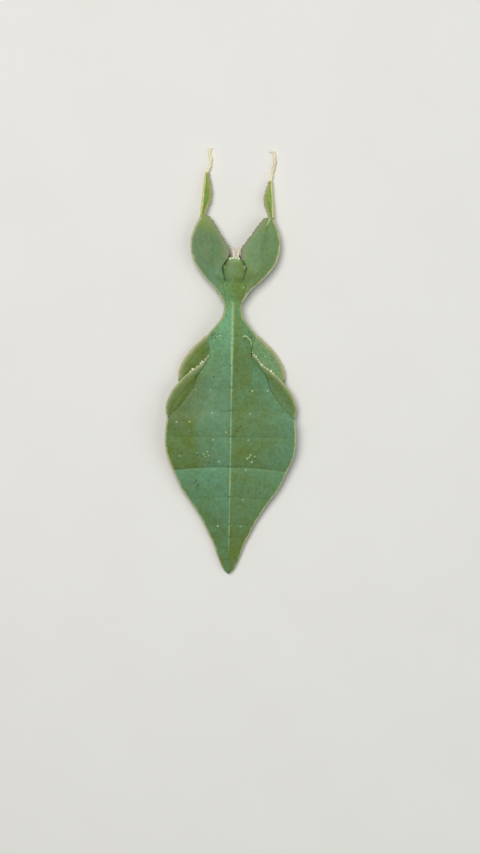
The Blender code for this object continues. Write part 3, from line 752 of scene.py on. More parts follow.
def body_light(x, y):
    """Painted light and shade: how much paler the skin grows towards the front, most of all left of the
    keel.
    """
    left = ramp(0.4, -0.4, x)
    across = x / half_width(y)
    # Painted light on chest, neck shield, then head and forehead
    light = (0.32 * ramp(36, 44.5, y) + 0.24 * left * ramp(32, 40, y)) * ramp(48.2, 47.2, y)
    light += (0.36 + 0.06 * left) * stretch(47.2, 48.2, 50.8, 51.8, y)
    light += (0.1 + 0.12 * ramp(0.2, 1.5, x)) * ramp(51.2, 52, y) + 0.22 * ramp(53.8, 54.6, y)
    # Painted shade by the left hind thigh, over the left middle hip, and in the hollows
    light -= 0.13 * ramp(-0.5, -0.75, across) * stretch(23, 29, 33, 36, y)
    light -= 0.18 * ramp(-0.4, -0.75, across) * stretch(39, 40.2, 41.4, 42.6, y)
    for shade_x, shade_y, wide, deep in HIP_PAINTED_SHADE:
        light -= deep * hump(x, shade_x, wide) * hump(y, shade_y, wide)
    return light


beside_keel = [round(float(body_tone(x, 30, half_width(30))), 2) for x in (-1, 1)]
print("tone left and right of the keel:", beside_keel)

# %% [markdown]
# ## The body's skin
# The skin runs in one piece from tail to face, because no seam shows on the
# animal. The lobes beside the belly are thin, and the belly hangs under them as
# a rounded trunk with soft folds.

# %% Build the skin from tail to face
def body_skin():
    """Rings from the tail to the face, closer together towards the front.

    Across a ring the points crowd at both rims and at the keel.
    """
    steps = (0.2, 0.8, 0.05), (0.8, 41, 0.13), (41, 55.2, 0.09), (55.2, 55.53, 0.025)
    y = np.concatenate([np.arange(*step) for step in steps] + [[OUTLINE[-1][0]]])[:, None]
    s = np.linspace(-1, 1, 101)[None, :]
    place = s - 0.82 * np.sin(2 * np.pi * s) / (2 * np.pi)
    half = half_width(y)
    offset = place * half
    x = curve(CENTRE_LINE, y) + offset
    yy = np.broadcast_to(y, x.shape)
    out = np.abs(place) + 0 * x
    inside = half - np.abs(offset)
    _, line, shade = plate_steps(yy, out)

    back = back_height(x, yy)
    sheet = curve(SHEET, y)
    # The belly hangs under the sheet as a rounded trunk, folded at the plate lines
    belly = np.minimum(curve(BELLY_HALF, y), 0.6 * half) * 1.25
    low = curve(BELLY_LOW, y)
    near = np.clip(np.abs(offset) / belly, 0, 1)
    rise = 1 - np.maximum(1 - near ** 2.3, 0) ** (1 / 2.3)
    lobe = back - sheet * (1 + 0.8 * (1 - out))
    under = low + (lobe - low) * rise + 0.1 * line * (near < 1) * ramp(0, 0.15, 1 - near)

    # Top and underside meet on a half circle at the rim
    edge = curve(MARGIN_TOP, y) - sheet / 2
    opened = rounding(inside, curve(RIM_RADIUS, y))
    top = edge + (back - edge) * opened
    under = edge + (under - edge) * opened
    # Towards the front the section turns into the head's
    head_top, head_under = head_section(out, curve(HEAD_LOW, y), curve(HEAD_TOP, y))
    is_head = ramp(50.9, 51.6, yy)
    top = top + (head_top - top) * is_head
    under = under + (head_under - under) * is_head

    # What the material reads: keel, ticks of painted shade where it crosses the lines, pale streaks that
    # are partly painted highlights, rim
    keel = keel_mask(x, yy) * curve(KEEL_PALENESS, yy)
    # Painted shade where the plate lines cross the keel
    tick_shade = np.minimum(line * 2.4, 0.85) * hump(x, 0, 0.45) * (yy < 47)
    # Painted highlights behind the bold plate line and along the line at 23.75 on the right, a pale line
    # along the margin over the hind thighs, and a paler head and forehead
    pale_and_glint = (0.75 * hump(yy - strong_line(out), -0.17, 0.11) * ramp(0, 0.4, out)
             + 0.5 * hump(inside, 0.12, 0.12) * stretch(27.3, 27.8, 31, 33, yy)
             + 0.16 * ramp(51.4, 52.4, yy) + 0.25 * ramp(53.8, 54.6, yy)
             + 0.3 * hump(yy, 23.75, 0.1) * stretch(3.5, 5, 9, 10.8, x))
    no_rim = stretch(27.1, 27.5, 41.2, 41.6, yy) + ramp(47.2, 47.8, yy)
    rim = inside + 3 * no_rim + 0.16 * ramp(5, 0.5, yy) - 0.12 * stretch(41.6, 42.6, 45.4, 47, yy)
    tone = body_tone(x, yy, half)
    none = np.zeros_like(x)
    facts = {
        "rim": (rim + 0.7 * (back - edge) * (1 - opened),
                rim + 0.35 * sheet + 2 * np.maximum(edge - under, 0)),
        "tone": (tone, tone + 0.2), "keel": (keel, none), "crease": (line, line * 0.5),
        "dark": (tick_shade, none), "pale": (pale_and_glint, none + 0.25), "shade": (shade + body_light(x, yy), none),
    }
    rings = sink_round_eyes(sheet_rings(np.stack([x, yy], axis=-1), top, under))
    return shell(rings, {name: both_faces(*pair) for name, pair in facts.items()})


BODY_NODES = ["abdomen_segment_%d" % number for number in range(2, 11)]
BODY_NODES += ["metathorax", "mesothorax", "prothorax", "head"]
piece("body_skin", [body_skin()], BODY_LOOK, BODY_NODES)

# %% [markdown]
# ## Leaf-shaped thighs
# Each thigh is a shaft with a leaf-like flap on both sides, drawn as a thin
# sheet between an inner and an outer edge. Teeth are cut by moving an edge in a
# little, tooth by tooth, before the sheet is drawn.

# %% A leaf from two edges
# Half thicknesses, and the half width of the shaft's swelling
WEB_HALF = 0.1
RIM_HALF = 0.13
SHAFT_WIDE = 0.38


def leaf(stations, rows, sign, heights, shaft, swell, tone, teeth=(0, 0), across=49, lime=0,
         shade=0, inner_light=0, fringe_from=-1):
    """A leaf-shaped shell. stations are pairs of edge points, rows are places from 0 to 1."""
    inner, outer = [through(edge, rows) for edge in zip(*stations)]
    t = rows[:, None]
    span = outer - inner
    wide = np.linalg.norm(span, axis=1)[:, None]
    # Both ends are pinched round, and both edges are toothed
    end = np.clip((np.abs(t - 0.5) - 0.47) / 0.03, 0, 1)
    pinch = 0.34 * wide * (1 - np.sqrt(1 - end ** 2))
    inner = inner + span / wide * (teeth[0] + pinch)
    outer = outer - span / wide * (teeth[1] + pinch)
    wide = np.linalg.norm(outer - inner, axis=1)[:, None]

    # Across the leaf, from 0 at the inner edge to 1 at the outer, crowded at both
    w = (0.5 - 0.5 * np.cos(np.linspace(0, np.pi, across)))[None, :]
    plan = inner[:, None] * (1 - w[..., None]) + outer[:, None] * w[..., None]
    plan[..., 0] *= sign
    low, mid, high = heights
    # Height goes from the inner edge over the shaft to the outer edge, a little wavy
    z = np.where(w <= shaft, low + (mid - low) * w / shaft,
                 mid + (high - mid) * (np.maximum(w - shaft, 0) / (1 - shaft)) ** 1.4)
    z = z + 0.04 * np.sin(9 * w + 7 * t) * np.sin(np.pi * w)
    # A thin web with a round rim, swollen along the shaft
    inside = np.minimum(w, 1 - w) * wide
    web = WEB_HALF + (RIM_HALF - WEB_HALF) * hump(inside, RIM_HALF, 0.12)
    web = web * rounding(inside, RIM_HALF)
    ridge = hump((w - shaft) * wide, 0, SHAFT_WIDE) * rounding(inside, 0.3)
    top = z + web + swell[0] * ridge
    under = z - web - swell[1] * ridge

    facts = {"rim": (1 - w) * wide, "fringe": w * wide + 3 * ramp(fringe_from + 0.08, fringe_from, t),
             "tone": tone(w), "lime": lime * ramp(0.66, 0.98, t),
             "shade": shade + inner_light * ramp(0.5, 0.1, w)}
    told = {}
    for name, value in facts.items():
        value = value + 0 * z
        told[name] = both_faces(value, value + 0.15 if name == "tone" else value)
    return shell(sheet_rings(plan, top, under), told)


def bare(tone):
    """The facts of a leg's round parts, which have no rim."""
    return {"rim": 3, "fringe": 3, "tone": tone}


# %% [markdown]
# ## The forelegs
# The fore thigh is the widest leaf of all, notched at its base where the head
# fits in, and toothed along its inner edge up to the knee. The shin is a slim
# shaft with one small flap inside. Both legs are drawn as right ones, turned a
# little about the base, and the left one is mirrored.

# %% Foreleg tables
FORE_FEMUR = (
    ((1.15, 47.55), (1.6, 47.3)), ((1.3, 49.55), (3.2, 49.78)), ((1.62, 51.15), (4.97, 51.5)),
    ((2.1, 53.2), (6.5, 53.3)), ((1.86, 54.2), (7.42, 54.95)), ((1.1, 55.35), (7.86, 56.8)),
    ((0.9, 56.9), (7.9, 58.25)), ((1.8, 58.35), (7.65, 59.55)), ((2.78, 59.85), (7.22, 60.75)),
    ((3.85, 61.5), (6.72, 61.8)), ((4.85, 62.6), (6.4, 62.45)),
)
FORE_PIVOT = (1.5, 48.3)
FORE_TURN = {"left": -1.7, "right": 1.7}
FORE_LIFT = ((0, 2.5), (0.5, 2.3), (1, 1.75))
TIBIA_LENGTH = {"left": 7.35, "right": 6.15}
TIBIA_INWARD = {"left": 5.8, "right": 3.4}
SHAFT_INSET = 0.23
TIBIA_LOBE = ((0, 0.45), (0.2, 1), (0.5, 1.4), (0.8, 0.85), (1, 0.25))
KNEE_LIME = {"left": 0.8, "right": 0.25}
FORE_BASE_TONE = {"left": 0.5, "right": -0.7}
FORE_SHADE = {"left": -0.16, "right": 0}
TEETH = 10
TOOTH_DEPTH = 0.42


def turned(point, degrees):
    """A point (x, y) turned clockwise round the foreleg's base."""
    angle = math.radians(degrees)
    dx = point[0] - FORE_PIVOT[0]
    dy = point[1] - FORE_PIVOT[1]
    return (FORE_PIVOT[0] + dx * math.cos(angle) + dy * math.sin(angle),
            FORE_PIVOT[1] - dx * math.sin(angle) + dy * math.cos(angle))


def saw(t, start, end, count, depth, lean=0.35):
    """Saw teeth cut into an edge between two places: 0 at each tip."""
    phase = np.clip((t - start) / (end - start), 0, 1) * count
    phase = phase + 0.22 * np.sin(1.9 * phase) + 0.12 * np.sin(4.3 * phase + 1)
    part = phase - np.floor(phase)
    shape = np.where(part < lean, part / lean, (1 - part) / (1 - lean))
    size = depth * (0.7 + 0.3 * np.sin(2.4 * np.floor(phase)) * np.cos(1.1 * np.floor(phase)))
    within = (t > start) & (t < end)
    return np.where(within, size * (1 - shape), 0)


# %% Build the forelegs
def foreleg(side):
    """The thigh, the shin with its knuckle, and the place of the ankle."""
    sign = SIDES[side]
    stations = [[turned(point, FORE_TURN[side]) for point in pair] for pair in FORE_FEMUR]
    rows = np.concatenate([np.linspace(0, 0.58, 90, endpoint=False), np.linspace(0.58, 1, 190)])
    t = rows[:, None]
    z = curve(FORE_LIFT, t)
    grown = ramp(0.1, 0.22, t)
    tone = FORE_BASE_TONE[side] * ramp(0.5, 0.2, t) - 0.5 * ramp(0.6, 1, t)
    thigh = leaf(
        stations, rows, sign, across=57, shaft=0.42 + 0.1 * t,
        heights=(z - 0.05 + 0.5 * hump(t, 0.235, 0.045), z, z - 0.25 * np.sin(np.pi * t)),
        swell=(0.05 * grown, 0.7 * grown * (1 - 0.55 * t)),
        teeth=(saw(t, 0.58, 0.965, TEETH, TOOTH_DEPTH) + saw(t, 0.3, 0.58, 9, 0.05),
               saw(t, 0.62, 0.98, 16, 0.03)),
        tone=lambda w: tone + 0.3 * ramp(0.1, 0.8, w), lime=KNEE_LIME[side], fringe_from=0.42,
        shade=FORE_SHADE[side] * ramp(0.1, 0.28, t), inner_light=0.14)

    # The shin starts at the knee and leans inwards
    knee = stations[-1]
    start = np.array((knee[1][0] - SHAFT_INSET, max(knee[0][1], knee[1][1]) - 0.15))
    lean = math.radians(TIBIA_INWARD[side])
    along = np.array((-math.sin(lean), math.cos(lean)))
    out = np.array((math.cos(lean), math.sin(lean)))
    length = TIBIA_LENGTH[side] + 0.45
    edges = []
    for part in np.linspace(0, 1, 11):
        centre = start + along * length * part
        edges.append((centre - out * (curve(TIBIA_LOBE, part) + 0.12), centre + out * 0.36))
    rows = np.linspace(0, 1, 150)
    t = rows[:, None]
    z = 1.6 - 0.8 * t
    lobe = curve(TIBIA_LOBE, t)
    shin = leaf(edges, rows, sign, across=33, shaft=(lobe + 0.12) / (lobe + 0.48), heights=(z, z, z),
                swell=(0.24 - 0.08 * t, 0.26 - 0.08 * t), teeth=(saw(t, 0.08, 0.92, 11, 0.36), 0),
                tone=lambda w: 0.9 * ramp(0.35, 0.6, w) - 0.3)
    knuckle = ball((sign * start[0], start[1] + 0.08, 1.66), (0.29, 0.4, 0.28), 20, 24, bare(0.2))
    ankle = start + along * (length + 0.1)
    return thigh, [shin, knuckle], (sign * ankle[0], ankle[1])


COXA_PATH = ((1, 48.3, 1.5), (1.6, 48.65, 1.4), (2.2, 49, 1.35), (2.6, 49.6, 1.5), (2.8, 50.3, 1.9))
COXA_RADIUS = ((0, 0.3), (0.2, 0.42), (0.8, 0.42), (1, 0.3))
KNEE_MARK = {"left": ((4.12, 62.35, 1.84), (4.3, 61.9, 1.86), (4.55, 61.25, 1.86)),
             "right": ((6.28, 62.5, 1.9), (6.02, 61.8, 1.98), (5.6, 60.9, 2))}
KNEE_MARK_RADIUS = {"left": 0.11, "right": 0.15}
ankles = {}
for side, sign in SIDES.items():
    thigh, shin, ankles[side] = foreleg(side)
    thick = KNEE_MARK_RADIUS[side]
    streak = tube(mirrored(KNEE_MARK[side], sign),
                  ((0, 0.5 * thick), (0.3, thick), (0.8, 0.8 * thick), (1, 0.02)), 24, 12, 0.6)
    piece("knee_mark_" + side, [streak], KNEE_LOOK)
    coxa = tube(mirrored(COXA_PATH, sign, 0.05), COXA_RADIUS, 20, 20, facts=bare(0.3))
    piece("foreleg_" + side, [coxa, thigh], FORE_LOOK,
          ["fore_coxa_" + side, "fore_femur_" + side])
    piece("fore_shin_" + side, shin, SHIN_LOOK, ["fore_tibia_" + side])

# %% [markdown]
# ## Middle and hind legs
# These thighs lie half under the body, fanned back along its sides. Below the
# knee each leg folds back under the belly, where it can hardly be seen, so a
# plain tube with a swelling at the knee does for the shin.

# %% Middle and hind leg tables
MID_FEMUR = (
    ((3.1, 38.2), (2.9, 42)), ((3.5, 37.5), (4.4, 41.75)), ((4.4, 36.9), (5.7, 40.65)),
    ((5.2, 36.3), (6.95, 39.5)), ((6.1, 35.6), (8, 38.15)), ((6.9, 35), (8.85, 36.7)),
    ((7.6, 34.4), (9.35, 35.2)), ((8.3, 34), (9.4, 34.1)),
)
HIND_FEMUR = (
    ((3.5, 36.75), (3.55, 38.7)), ((4.3, 35.9), (4.25, 38.1)), ((5, 34.6), (5.2, 36.9)),
    ((5.9, 33.1), (6.85, 35.65)), ((6.8, 31.4), (8.35, 34.4)), ((7.6, 30.1), (9.5, 33.15)),
    ((8.4, 29.1), (10.5, 31.8)), ((9.3, 28.3), (11.15, 30.4)), ((9.9, 27.7), (11.48, 29)),
    ((10.2, 27.3), (11.38, 27.5)),
)
MID_SHIN = ((9, 34.15, 1.5), (8.9, 33.7, 1.3), (8.6, 33.4, 1.05), (8.1, 33.45, 0.75),
            (7.4, 34.5, 0.62), (6.2, 36.2, 0.6), (5.1, 37.85, 0.5))
HIND_SHIN = ((10.85, 27.4, 2.2), (10.75, 26.8, 2), (10.5, 26.35, 1.65), (9.9, 26.35, 1.3),
             (9, 27.5, 1.15), (7.6, 29.6, 1), (5.9, 32.35, 0.65))
MID_COXA = ((1.6, 40.2, 1.3), (2.4, 40.2, 1.35), (3, 40.15, 1.4), (3.7, 40, 1.5))
HIND_COXA = ((1.6, 37.4, 1.6), (2.4, 37.45, 1.8), (3.1, 37.5, 2.05), (3.8, 37.4, 2.3))
MID_FOOT = ((5.15, 37.8, 0.45), (4.7, 38.3, 0.32), (4.1, 38.6, 0.26), (3.2, 38.7, 0.26), (2.5, 38.4, 0.26))
HIND_FOOT = ((5.9, 32.3, 0.6), (5.5, 33, 0.4), (5, 34, 0.28), (4.2, 35, 0.26), (3.4, 35.9, 0.26))
HIP_RADIUS = ((0, 0.4), (0.3, 0.5), (0.8, 0.46), (1, 0.3))
SHIN_RADIUS = ((0, 0.25), (0.12, 0.42), (0.3, 0.36), (0.7, 0.38), (1, 0.26))
MID_TONE = {"left": -0.95, "right": 0.8}
# Tone of the hind thigh: of the blade, along its inner edge, at its base
HIND_TONE = {"left": (-0.9, 0, -0.4), "right": (-0.4, 0.8, 0.4)}
HIND_SHADE = {"left": 0, "right": -0.07}
HIND_EDGE_FROM = {"left": 2, "right": 0.6}

# %% Build the middle and hind legs
rows = np.linspace(0, 1, 200)
t = rows[:, None]
lift = 0.62 * ramp(0.42, 0.1, t)
MID_FORM = {
    "heights": (1.5 + 0.4 * lift, 1.55 + lift, 1.5 + lift - 0.5 * ramp(0.1, 0.5, t)),
    "shaft": 0.55, "swell": (0.07, 0.35), "fringe_from": 2,
}
HIND_FORM = {
    "heights": (2.33, 2.35, 2.35 - 0.5 * ramp(0.6, 1, t)), "shaft": 0.62,
    "swell": (0.09 * ramp(0.1, 0.3, t) * (1 - 0.5 * ramp(0.7, 1, t)), 0.15 + 0.2 * ramp(0.6, 0.8, t)),
    "teeth": (0, saw(t, 0.05, 0.8, 26, 0.05)),
}


def leg(name, side, look, edges, coxa, shin, **form):
    """One piece of thigh, hip and folded shin. Returns the thigh."""
    sign = SIDES[side]
    thigh = leaf(edges, rows, sign, **form)
    hip = tube(mirrored(coxa, sign), HIP_RADIUS, 18, 18, facts=bare(-0.1))
    lower = tube(mirrored(shin, sign), SHIN_RADIUS, 60, 16, facts=bare(-0.1))
    piece(name + "leg_" + side, [thigh, hip, lower], look,
          [f"{name}_{part}_{side}" for part in ("coxa", "femur", "tibia")])
    return thigh


mid_thighs = {}
for side in SIDES:
    mid_thighs[side] = leg("mid", side, MID_LOOK, MID_FEMUR, MID_COXA, MID_SHIN, **MID_FORM,
                           tone=lambda w: MID_TONE[side] + 1.3 * ramp(0.36, 0.08, t))
    blade, inner, base = HIND_TONE[side]
    leg("hind", side, HIND_LOOK, HIND_FEMUR, HIND_COXA, HIND_SHIN, **HIND_FORM,
        tone=lambda w: blade * ramp(0.2, 0.5, t) + inner * ramp(0.7, 0.3, w) + base * ramp(0.2, 0.05, t),
        shade=HIND_SHADE[side], fringe_from=HIND_EDGE_FROM[side])

# %% [markdown]
# ## Feet and claws
# A foot has five joints, the first the longest, and ends in two hooked claws
# with a small round lobe between them. The joints come from the tube's width,
# which swells into a soft pad and dips at each waist.

# %% Feet
JOINTS = (0, 0.36, 0.52, 0.66, 0.79, 1)
TARSUS_STEPS = {
    "left": ((0, -0.15), (0.15, 0.3), (0.3, 0.6), (0.62, 2.1), (0.34, 3.25), (0.42, 3.85)),
    "right": ((0, -0.15), (0.1, 0.6), (0.32, 1.6), (0.68, 3.2), (0.58, 4.5), (0.4, 4.95)),
}
FOOT_SHADE = {"left": -0.1, "right": 0.5}
FORE_FOOT_RADIUS = 0.29
FOOT_RADIUS = 0.24
CLAW_RADIUS = ((0, 0.14), (0.4, 0.12), (0.8, 0.08), (1, 0.015))
CLAW_BEND = ((0.26, 0.08), (0.38, 0.3), (0.32, 0.52))


def foot_radius(thick):
    """The width along a foot, with a waist at every joint."""
    table = [(0, 0.75 * thick)]
    for start, end in zip(JOINTS, JOINTS[1:]):
        long = end - start
        table += [(start + 0.25 * long, 0.86 * thick), (start + 0.75 * long, 1.08 * thick),
                  (start + 0.93 * long, 0.95 * thick), (end, 0.68 * thick)]
    return table


def foot(name, side, path, thick, hook, shade=0):
    """A jointed foot and its claws, which hook to one side."""
    path = np.asarray(path, float)
    t = np.linspace(0, 1, 90)[:, None]
    along = t * 0.8 + shade * stretch(0.15, 0.35, 0.5, 0.85, t)
    body = tube(path, foot_radius(thick), 90, 16, 0.95, {"along": along})
    tip = path[-1]
    ahead = tip - path[-2]
    ahead /= np.linalg.norm(ahead)
    aside = np.array((ahead[1], -ahead[0], 0)) * hook
    pad = dome(tip + ahead * 0.1, 0.17, 0.15, facts={"along": 0.1})
    piece(f"{name}_foot_{side}", [body, pad], FOOT_LOOK, [f"{name}_tarsus_{side}"])
    claws = []
    for spread in (-0.13, 0.14):
        root = tip - ahead * 0.12 + aside * spread
        hooked = [root] + [root + ahead * far + aside * over for far, over in CLAW_BEND]
        claws.append(tube(hooked, CLAW_RADIUS, 20, 10))
    piece(f"{name}_foot_{side}_claws", claws, CLAW_LOOK)


for side, sign in SIDES.items():
    x, y = ankles[side]
    steps = TARSUS_STEPS[side]
    path = [(x + dx, y + dy, max(0.27, 0.78 - 0.5 * dy / steps[-1][1])) for dx, dy in steps]
    foot("fore", side, path, FORE_FOOT_RADIUS, -sign, FOOT_SHADE[side])
    foot("mid", side, mirrored(MID_FOOT, sign), FOOT_RADIUS, sign)
    foot("hind", side, mirrored(HIND_FOOT, sign), FOOT_RADIUS, sign)

# %% [markdown]
# ## Eyes
# An insect's eye is a bulging field of tiny facets: here an egg-shaped ball set
# half into the head. Its facets are relief in the material, because they are
# far too small for the mesh.

# %% Eyes
for side in SIDES:
    piece("eye_ball_" + side, [ball(EYES[side], EYE_HALF)], EYE_LOOK, ["eye_" + side])

# %% [markdown]
# ## Feelers, forehead beads and mouth
# The feelers are short strings of nine beads. Four cream beads stand in a row
# on the forehead over their roots. Below, the lip, jaws and jointed palps close
# the face, mostly hidden from above.

# %% Feelers and beads
FEELERS = {"left": ((0.08, 55.2, 2.62), (0.04, 55.6, 2.72), (-0.16, 57.08, 3)),
           "right": ((0.56, 55.2, 2.62), (0.64, 55.6, 2.72), (0.94, 57.08, 3))}
FEELER_JOINTS = 9
FEELER_RADIUS = 0.32


def beaded(thick, count, taper, waist=0.62):
    """The width along a string of beads that narrows towards its end."""
    table = []
    for i in range(2 * count):
        t = i / (2 * count)
        table.append((t, thick * (1 if i % 2 else waist) * (1 - taper * t)))
    return table + [(1, 0.3 * thick)]


for side in SIDES:
    feeler = tube(FEELERS[side], beaded(FEELER_RADIUS, FEELER_JOINTS, 0.12, 0.78), 110, 18)
    piece("feeler_" + side, [feeler], FEELER_LOOK, ["antenna_" + side])

FOREHEAD_LEVEL = 3.02
FOREHEAD = ((-0.62, 55.1), (-0.13, 55.22), (0.36, 55.23), (0.86, 55.12))
front = [dome((x, y, FOREHEAD_LEVEL), 0.27, 0.38, 8, 16) for x, y in FOREHEAD]
piece("forehead_beads", front, BEAD_LOOK)

# %% Grains across the forehead
GRAIN_ROWS = ((54.55, 0.95, 7), (54.75, 0.85, 6), (54.93, 0.75, 6))
grains = []
chance = np.random.default_rng(11)
for y, half, count in GRAIN_ROWS:
    low, high = curve(HEAD_LOW, y), curve(HEAD_TOP, y)
    for x in np.linspace(-half, half, count) + chance.uniform(-0.05, 0.05, count):
        top = float(head_section(np.abs(x) / half_width(y), low, high)[0])
        spot = (HEAD_X + x, y + chance.uniform(-0.04, 0.04), top - 0.01)
        grains.append(wart(spot, 0.1, 0.07, chance.uniform(0.1, 0.6)))
piece("forehead_grains", grains, DOT_LOOK)

# %% Mouth
LIP = ((0, 53.6, 1.3), (0, 54.4, 1.05), (0, 55.1, 1.2), (0, 55.5, 1.6), (0, 55.6, 1.9))
LIP_RADIUS = ((0, 0.4), (0.3, 0.62), (0.7, 0.58), (1, 0.4))
PALP = ((0.3, 54.3, 0.95), (0.72, 54.75, 0.85), (0.86, 55.15, 0.78), (0.85, 55.55, 0.68),
        (0.75, 55.85, 0.52))
JAW = ((0.55, 53.9, 1.2), (0.6, 54.6, 1.1), (0.35, 55.15, 1.05), (0.08, 55.3, 1.1))
JAW_RADIUS = ((0, 0.3), (0.5, 0.3), (1, 0.12))
mouth = [tube(mirrored(LIP, 1, HEAD_X), LIP_RADIUS, 30, 24, 0.55)]
for sign in SIDES.values():
    mouth.append(tube(mirrored(PALP, sign, HEAD_X), beaded(0.21, 4, 0.35), 60, 14))
    mouth.append(tube(mirrored(JAW, sign, HEAD_X), JAW_RADIUS, 24, 14, 0.7))
piece("mouth", mouth, MOUTH_LOOK, ["mouthparts"])

# %% [markdown]
# ## Tail feelers, dots, beads and flecks
# Two short flat feelers close the tail. The back carries pairs of pale dots
# near the plate lines, and a few dark flecks. They are real bumps set down on
# the skin's own height, so they catch the light from every side.

# %% Tail feelers
CERCUS = ((0.34, 1.3, 0.62), (0.3, 0.8, 0.62), (0.19, 0.35, 0.56), (0.07, -0.02, 0.5))
CERCUS_RADIUS = ((0, 0.2), (0.5, 0.24), (0.85, 0.14), (1, 0.04))
tails = [tube(mirrored(CERCUS, sign), CERCUS_RADIUS, 30, 16, 0.7, {"rim": 3, "tone": -0.8, "shade": 0.12})
         for sign in SIDES.values()]
piece("tail_feelers", tails, BODY_LOOK, ["cercus_left", "cercus_right"])

# %% Dots and flecks on the back
DOT_PAIRS = ((3.6, 32), (6.3, 32.1), (3.3, 28), (3.05, 23.4), (2.75, 18.2), (2.3, 13), (1.95, 8.3))
DOT_CLUSTERS = [(-5.8, 21.1), (-4.65, 20.85), (-4.05, 21.3), (-4.3, 20.4), (-3.75, 20.6),
                (3.5, 20.85), (2.95, 20.2), (4.25, 20.6), (3.3, 20.45), (3.7, 19.6)]
DOT_ODD = ((-9.5, 26.4), (-7.25, 26.5), (-8.85, 20.5), (1.78, 50.1), (-1.9, 19.6), (-0.8, 24.75))
FLECKS = ((0.7, 25.9), (0.95, 25.5), (0.75, 25.15), (1.65, 25.85), (1.35, 25.5), (1.05, 25),
          (-5.9, 16.2), (-5.5, 15.4), (-5.7, 14.9), (-6.1, 15.8), (5.2, 15.9), (5.3, 14.2),
          (-5.65, 20.7), (-5.1, 20.8), (-3.6, 19.35), (3.4, 20.1), (4.3, 20.2), (2.6, 19.6),
          (-3.5, 41.6), (-3.05, 42), (-2.45, 41.8), (-1.6, 41.25), (-2.9, 41.2), (-3.6, 41.1),
          (0.8, 41.6), (3.35, 41.45), (2.8, 42.2), (2.2, 41.2), (3, 40.7), (2.5, 39.6), (-1.09, 50.5),
          (-0.1, 50.2), (2.1, 31.4), (-2.2, 35.2), (-3.1, 34.4), (1.6, 34.6), (0.9, 35.7))


def grains_on(level, spots, radius, height, seed, sizes=(0.75, 1.25), pales=(0, 0.8)):
    """Low bumps of varied size, set down at the level of each spot."""
    chance = np.random.default_rng(seed)
    made = []
    for x, y in spots:
        size = radius * chance.uniform(*sizes)
        made.append(wart((x, y, level(x, y)), size, height, chance.uniform(*pales)))
    return made


pale = [(sign * x, y) for x, y in DOT_PAIRS for sign in SIDES.values()] + DOT_CLUSTERS
dots_made = grains_on(back_level, pale, 0.18, 0.08, 3) + grains_on(back_level, DOT_ODD, 0.15, 0.06, 4)
piece("pale_dots", dots_made, DOT_LOOK)
piece("dark_flecks", grains_on(back_level, FLECKS, 0.13, 0.025, 5), FLECK_LOOK)

# %% Pale grains on the right middle thigh
GRAIN_SPOTS = (
    (5.8, 38.1), (6.46, 37.4), (6.77, 37.75), (7.42, 37.1), (6.25, 36.95), (7.72, 37.7), (5.58, 39),
    (4.95, 39.8), (6.3, 38.7), (7, 38.3), (7.9, 36.5), (5.2, 38.8), (7.2, 36.5), (6, 39.5),
)
thigh_points = mid_thighs["right"][0]


def thigh_level(x, y):
    """The upper side of the right middle thigh at one spot."""
    return thigh_points[np.hypot(thigh_points[:, 0] - x, thigh_points[:, 1] - y) < 0.25][:, 2].max()


thigh_grains = grains_on(thigh_level, GRAIN_SPOTS, 0.12, 0.05, 9, (0.6, 1.3), (0.1, 0.9))
piece("thigh_grains", thigh_grains, DOT_LOOK)

# %% White beads along the hind thighs
BEAD_LEVEL = 2.42
BEAD_SPOTS = (
    (3.55, 38.75, 0.12), (3.85, 38.4, 0.15), (4.2, 38.05, 0.19), (4.5, 37.6, 0.12), (4.85, 37.15, 0.14),
    (5.22, 36.65, 0.22), (5.7, 36.25, 0.13), (6.2, 35.95, 0.15), (6.85, 35.55, 0.25), (7.3, 35.2, 0.15),
    (-3.5, 38.7, 0.13), (-3.8, 38.4, 0.15), (-4.15, 38.05, 0.16), (-4.7, 37.5, 0.13), (-5.2, 37, 0.21),
    (-5.5, 36.7, 0.17), (-6.1, 36.2, 0.13), (-6.85, 35.65, 0.25), (-7.3, 35.25, 0.14),
)
beads = [dome((x, y, BEAD_LEVEL), size, 0.16, 8, 14, {"along": 0.1}) for x, y, size in BEAD_SPOTS]
piece("thigh_beads", beads, BEAD_LOOK)

# %% Pale ridge over each middle hip
RIDGE_SPOTS = ((1.65, 41.4), (2.1, 41.62), (2.65, 41.45), (3.05, 41), (3.28, 40.4), (3.3, 39.7))
RIDGE_GIRTH = {"left": 0.55, "right": 1}
RIDGE_RADII = ((0, 0.05), (0.2, 0.16), (0.5, 0.09), (0.7, 0.13), (1, 0.02))
ridges = []
for side, sign in SIDES.items():
    path = [(x, y, back_level(x, y) - 0.02) for x, y in mirrored(RIDGE_SPOTS, sign)]
    radii = [(place, RIDGE_GIRTH[side] * wide) for place, wide in RIDGE_RADII]
    ridges.append(tube(path, radii, 40, 12, 0.5))
piece("hip_ridges", ridges, RIDGE_LOOK)

# %% [markdown]
# ## Floor, light and camera
# The insect lies on a plain pale floor under a large soft light from the upper
# left and a weaker one from the right, which keeps the shadows open. The camera
# looks straight down, as in the photograph.

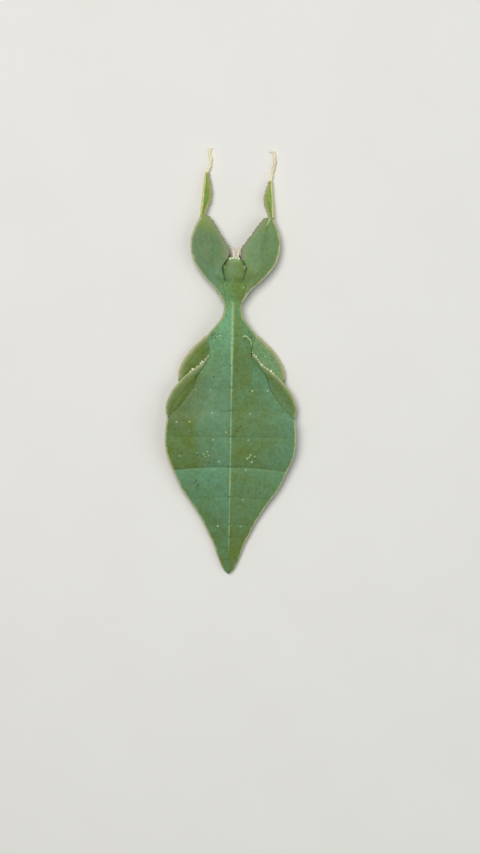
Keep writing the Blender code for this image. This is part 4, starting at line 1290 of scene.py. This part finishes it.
# %% Floor
def floor_look():
    """Pale paper with a faint grain."""
    made, tree, shader = new_look("floor_paper", 0.8)
    colour = mixed(tree, band(tree, noise(tree, 60, 4), 0.3, 0.7, 0, 0.25), FLOOR_GREY,
                   paint(243, 240, 233))
    finish_look(tree, shader, colour, noise(tree, 900, 4), 0.00005, 0.3)
    return made


FLOOR_HALF = 1.5
floor_mesh = bpy.data.meshes.new("floor")
corners = [(x * FLOOR_HALF, y * FLOOR_HALF, 0) for x, y in ((-1, -1), (1, -1), (1, 1), (-1, 1))]
floor_mesh.from_pydata(corners, [], [(0, 1, 2, 3)])
floor_mesh.materials.append(floor_look())
floor = stand("floor", floor_mesh)

# %% Lights
LIGHTS = (
    # name, place, size, watts, colour
    ("key_light", (-0.11, 0.14, 0.49), 0.3, 1.75, (1, 0.985, 0.95)),
    ("fill_light", (0.33, -0.1, 0.36), 0.4, 0.55, (0.93, 0.97, 1)),
)
for name, place, size, watts, colour in LIGHTS:
    lamp = bpy.data.lights.new(name, "AREA")
    lamp.size = size
    lamp.energy = watts
    lamp.color = colour
    made = stand(name, lamp)
    made.location = place
    made.rotation_euler = (-Vector(place)).to_track_quat("-Z", "Y").to_euler()

world = bpy.data.worlds.new("studio")
world.use_nodes = True
sky = world.node_tree.nodes["Background"]
sky.inputs[0].default_value = (0.86, 0.93, 1, 1)
sky.inputs[1].default_value = 0.16
bpy.context.scene.world = world
bpy.context.scene.view_settings.view_transform = "Standard"

# %% Camera
# Lengths in metres, but CAMERA_Y in millimetres from the tail tip and the lean in degrees
PHOTO_LONG_SIDE = 0.14945
CAMERA_DISTANCE = 0.8
CAMERA_LEVEL = 0.0025
CAMERA_X = 0.0016
CAMERA_Y = 25.7
CAMERA_SENSOR = 36
CAMERA_LEAN = 1
view = bpy.data.cameras.new("photo_view")
view.sensor_width = CAMERA_SENSOR
view.lens = CAMERA_SENSOR * CAMERA_DISTANCE / PHOTO_LONG_SIDE
view.clip_start = 0.01
camera = stand("photo_view", view)
camera.location = (CAMERA_X, (CAMERA_Y + TAIL_Y) * MM, CAMERA_LEVEL + CAMERA_DISTANCE)
camera.rotation_euler = (0, 0, math.radians(CAMERA_LEAN))
bpy.context.scene.camera = camera
print("lens, mm:", round(view.lens, 2))
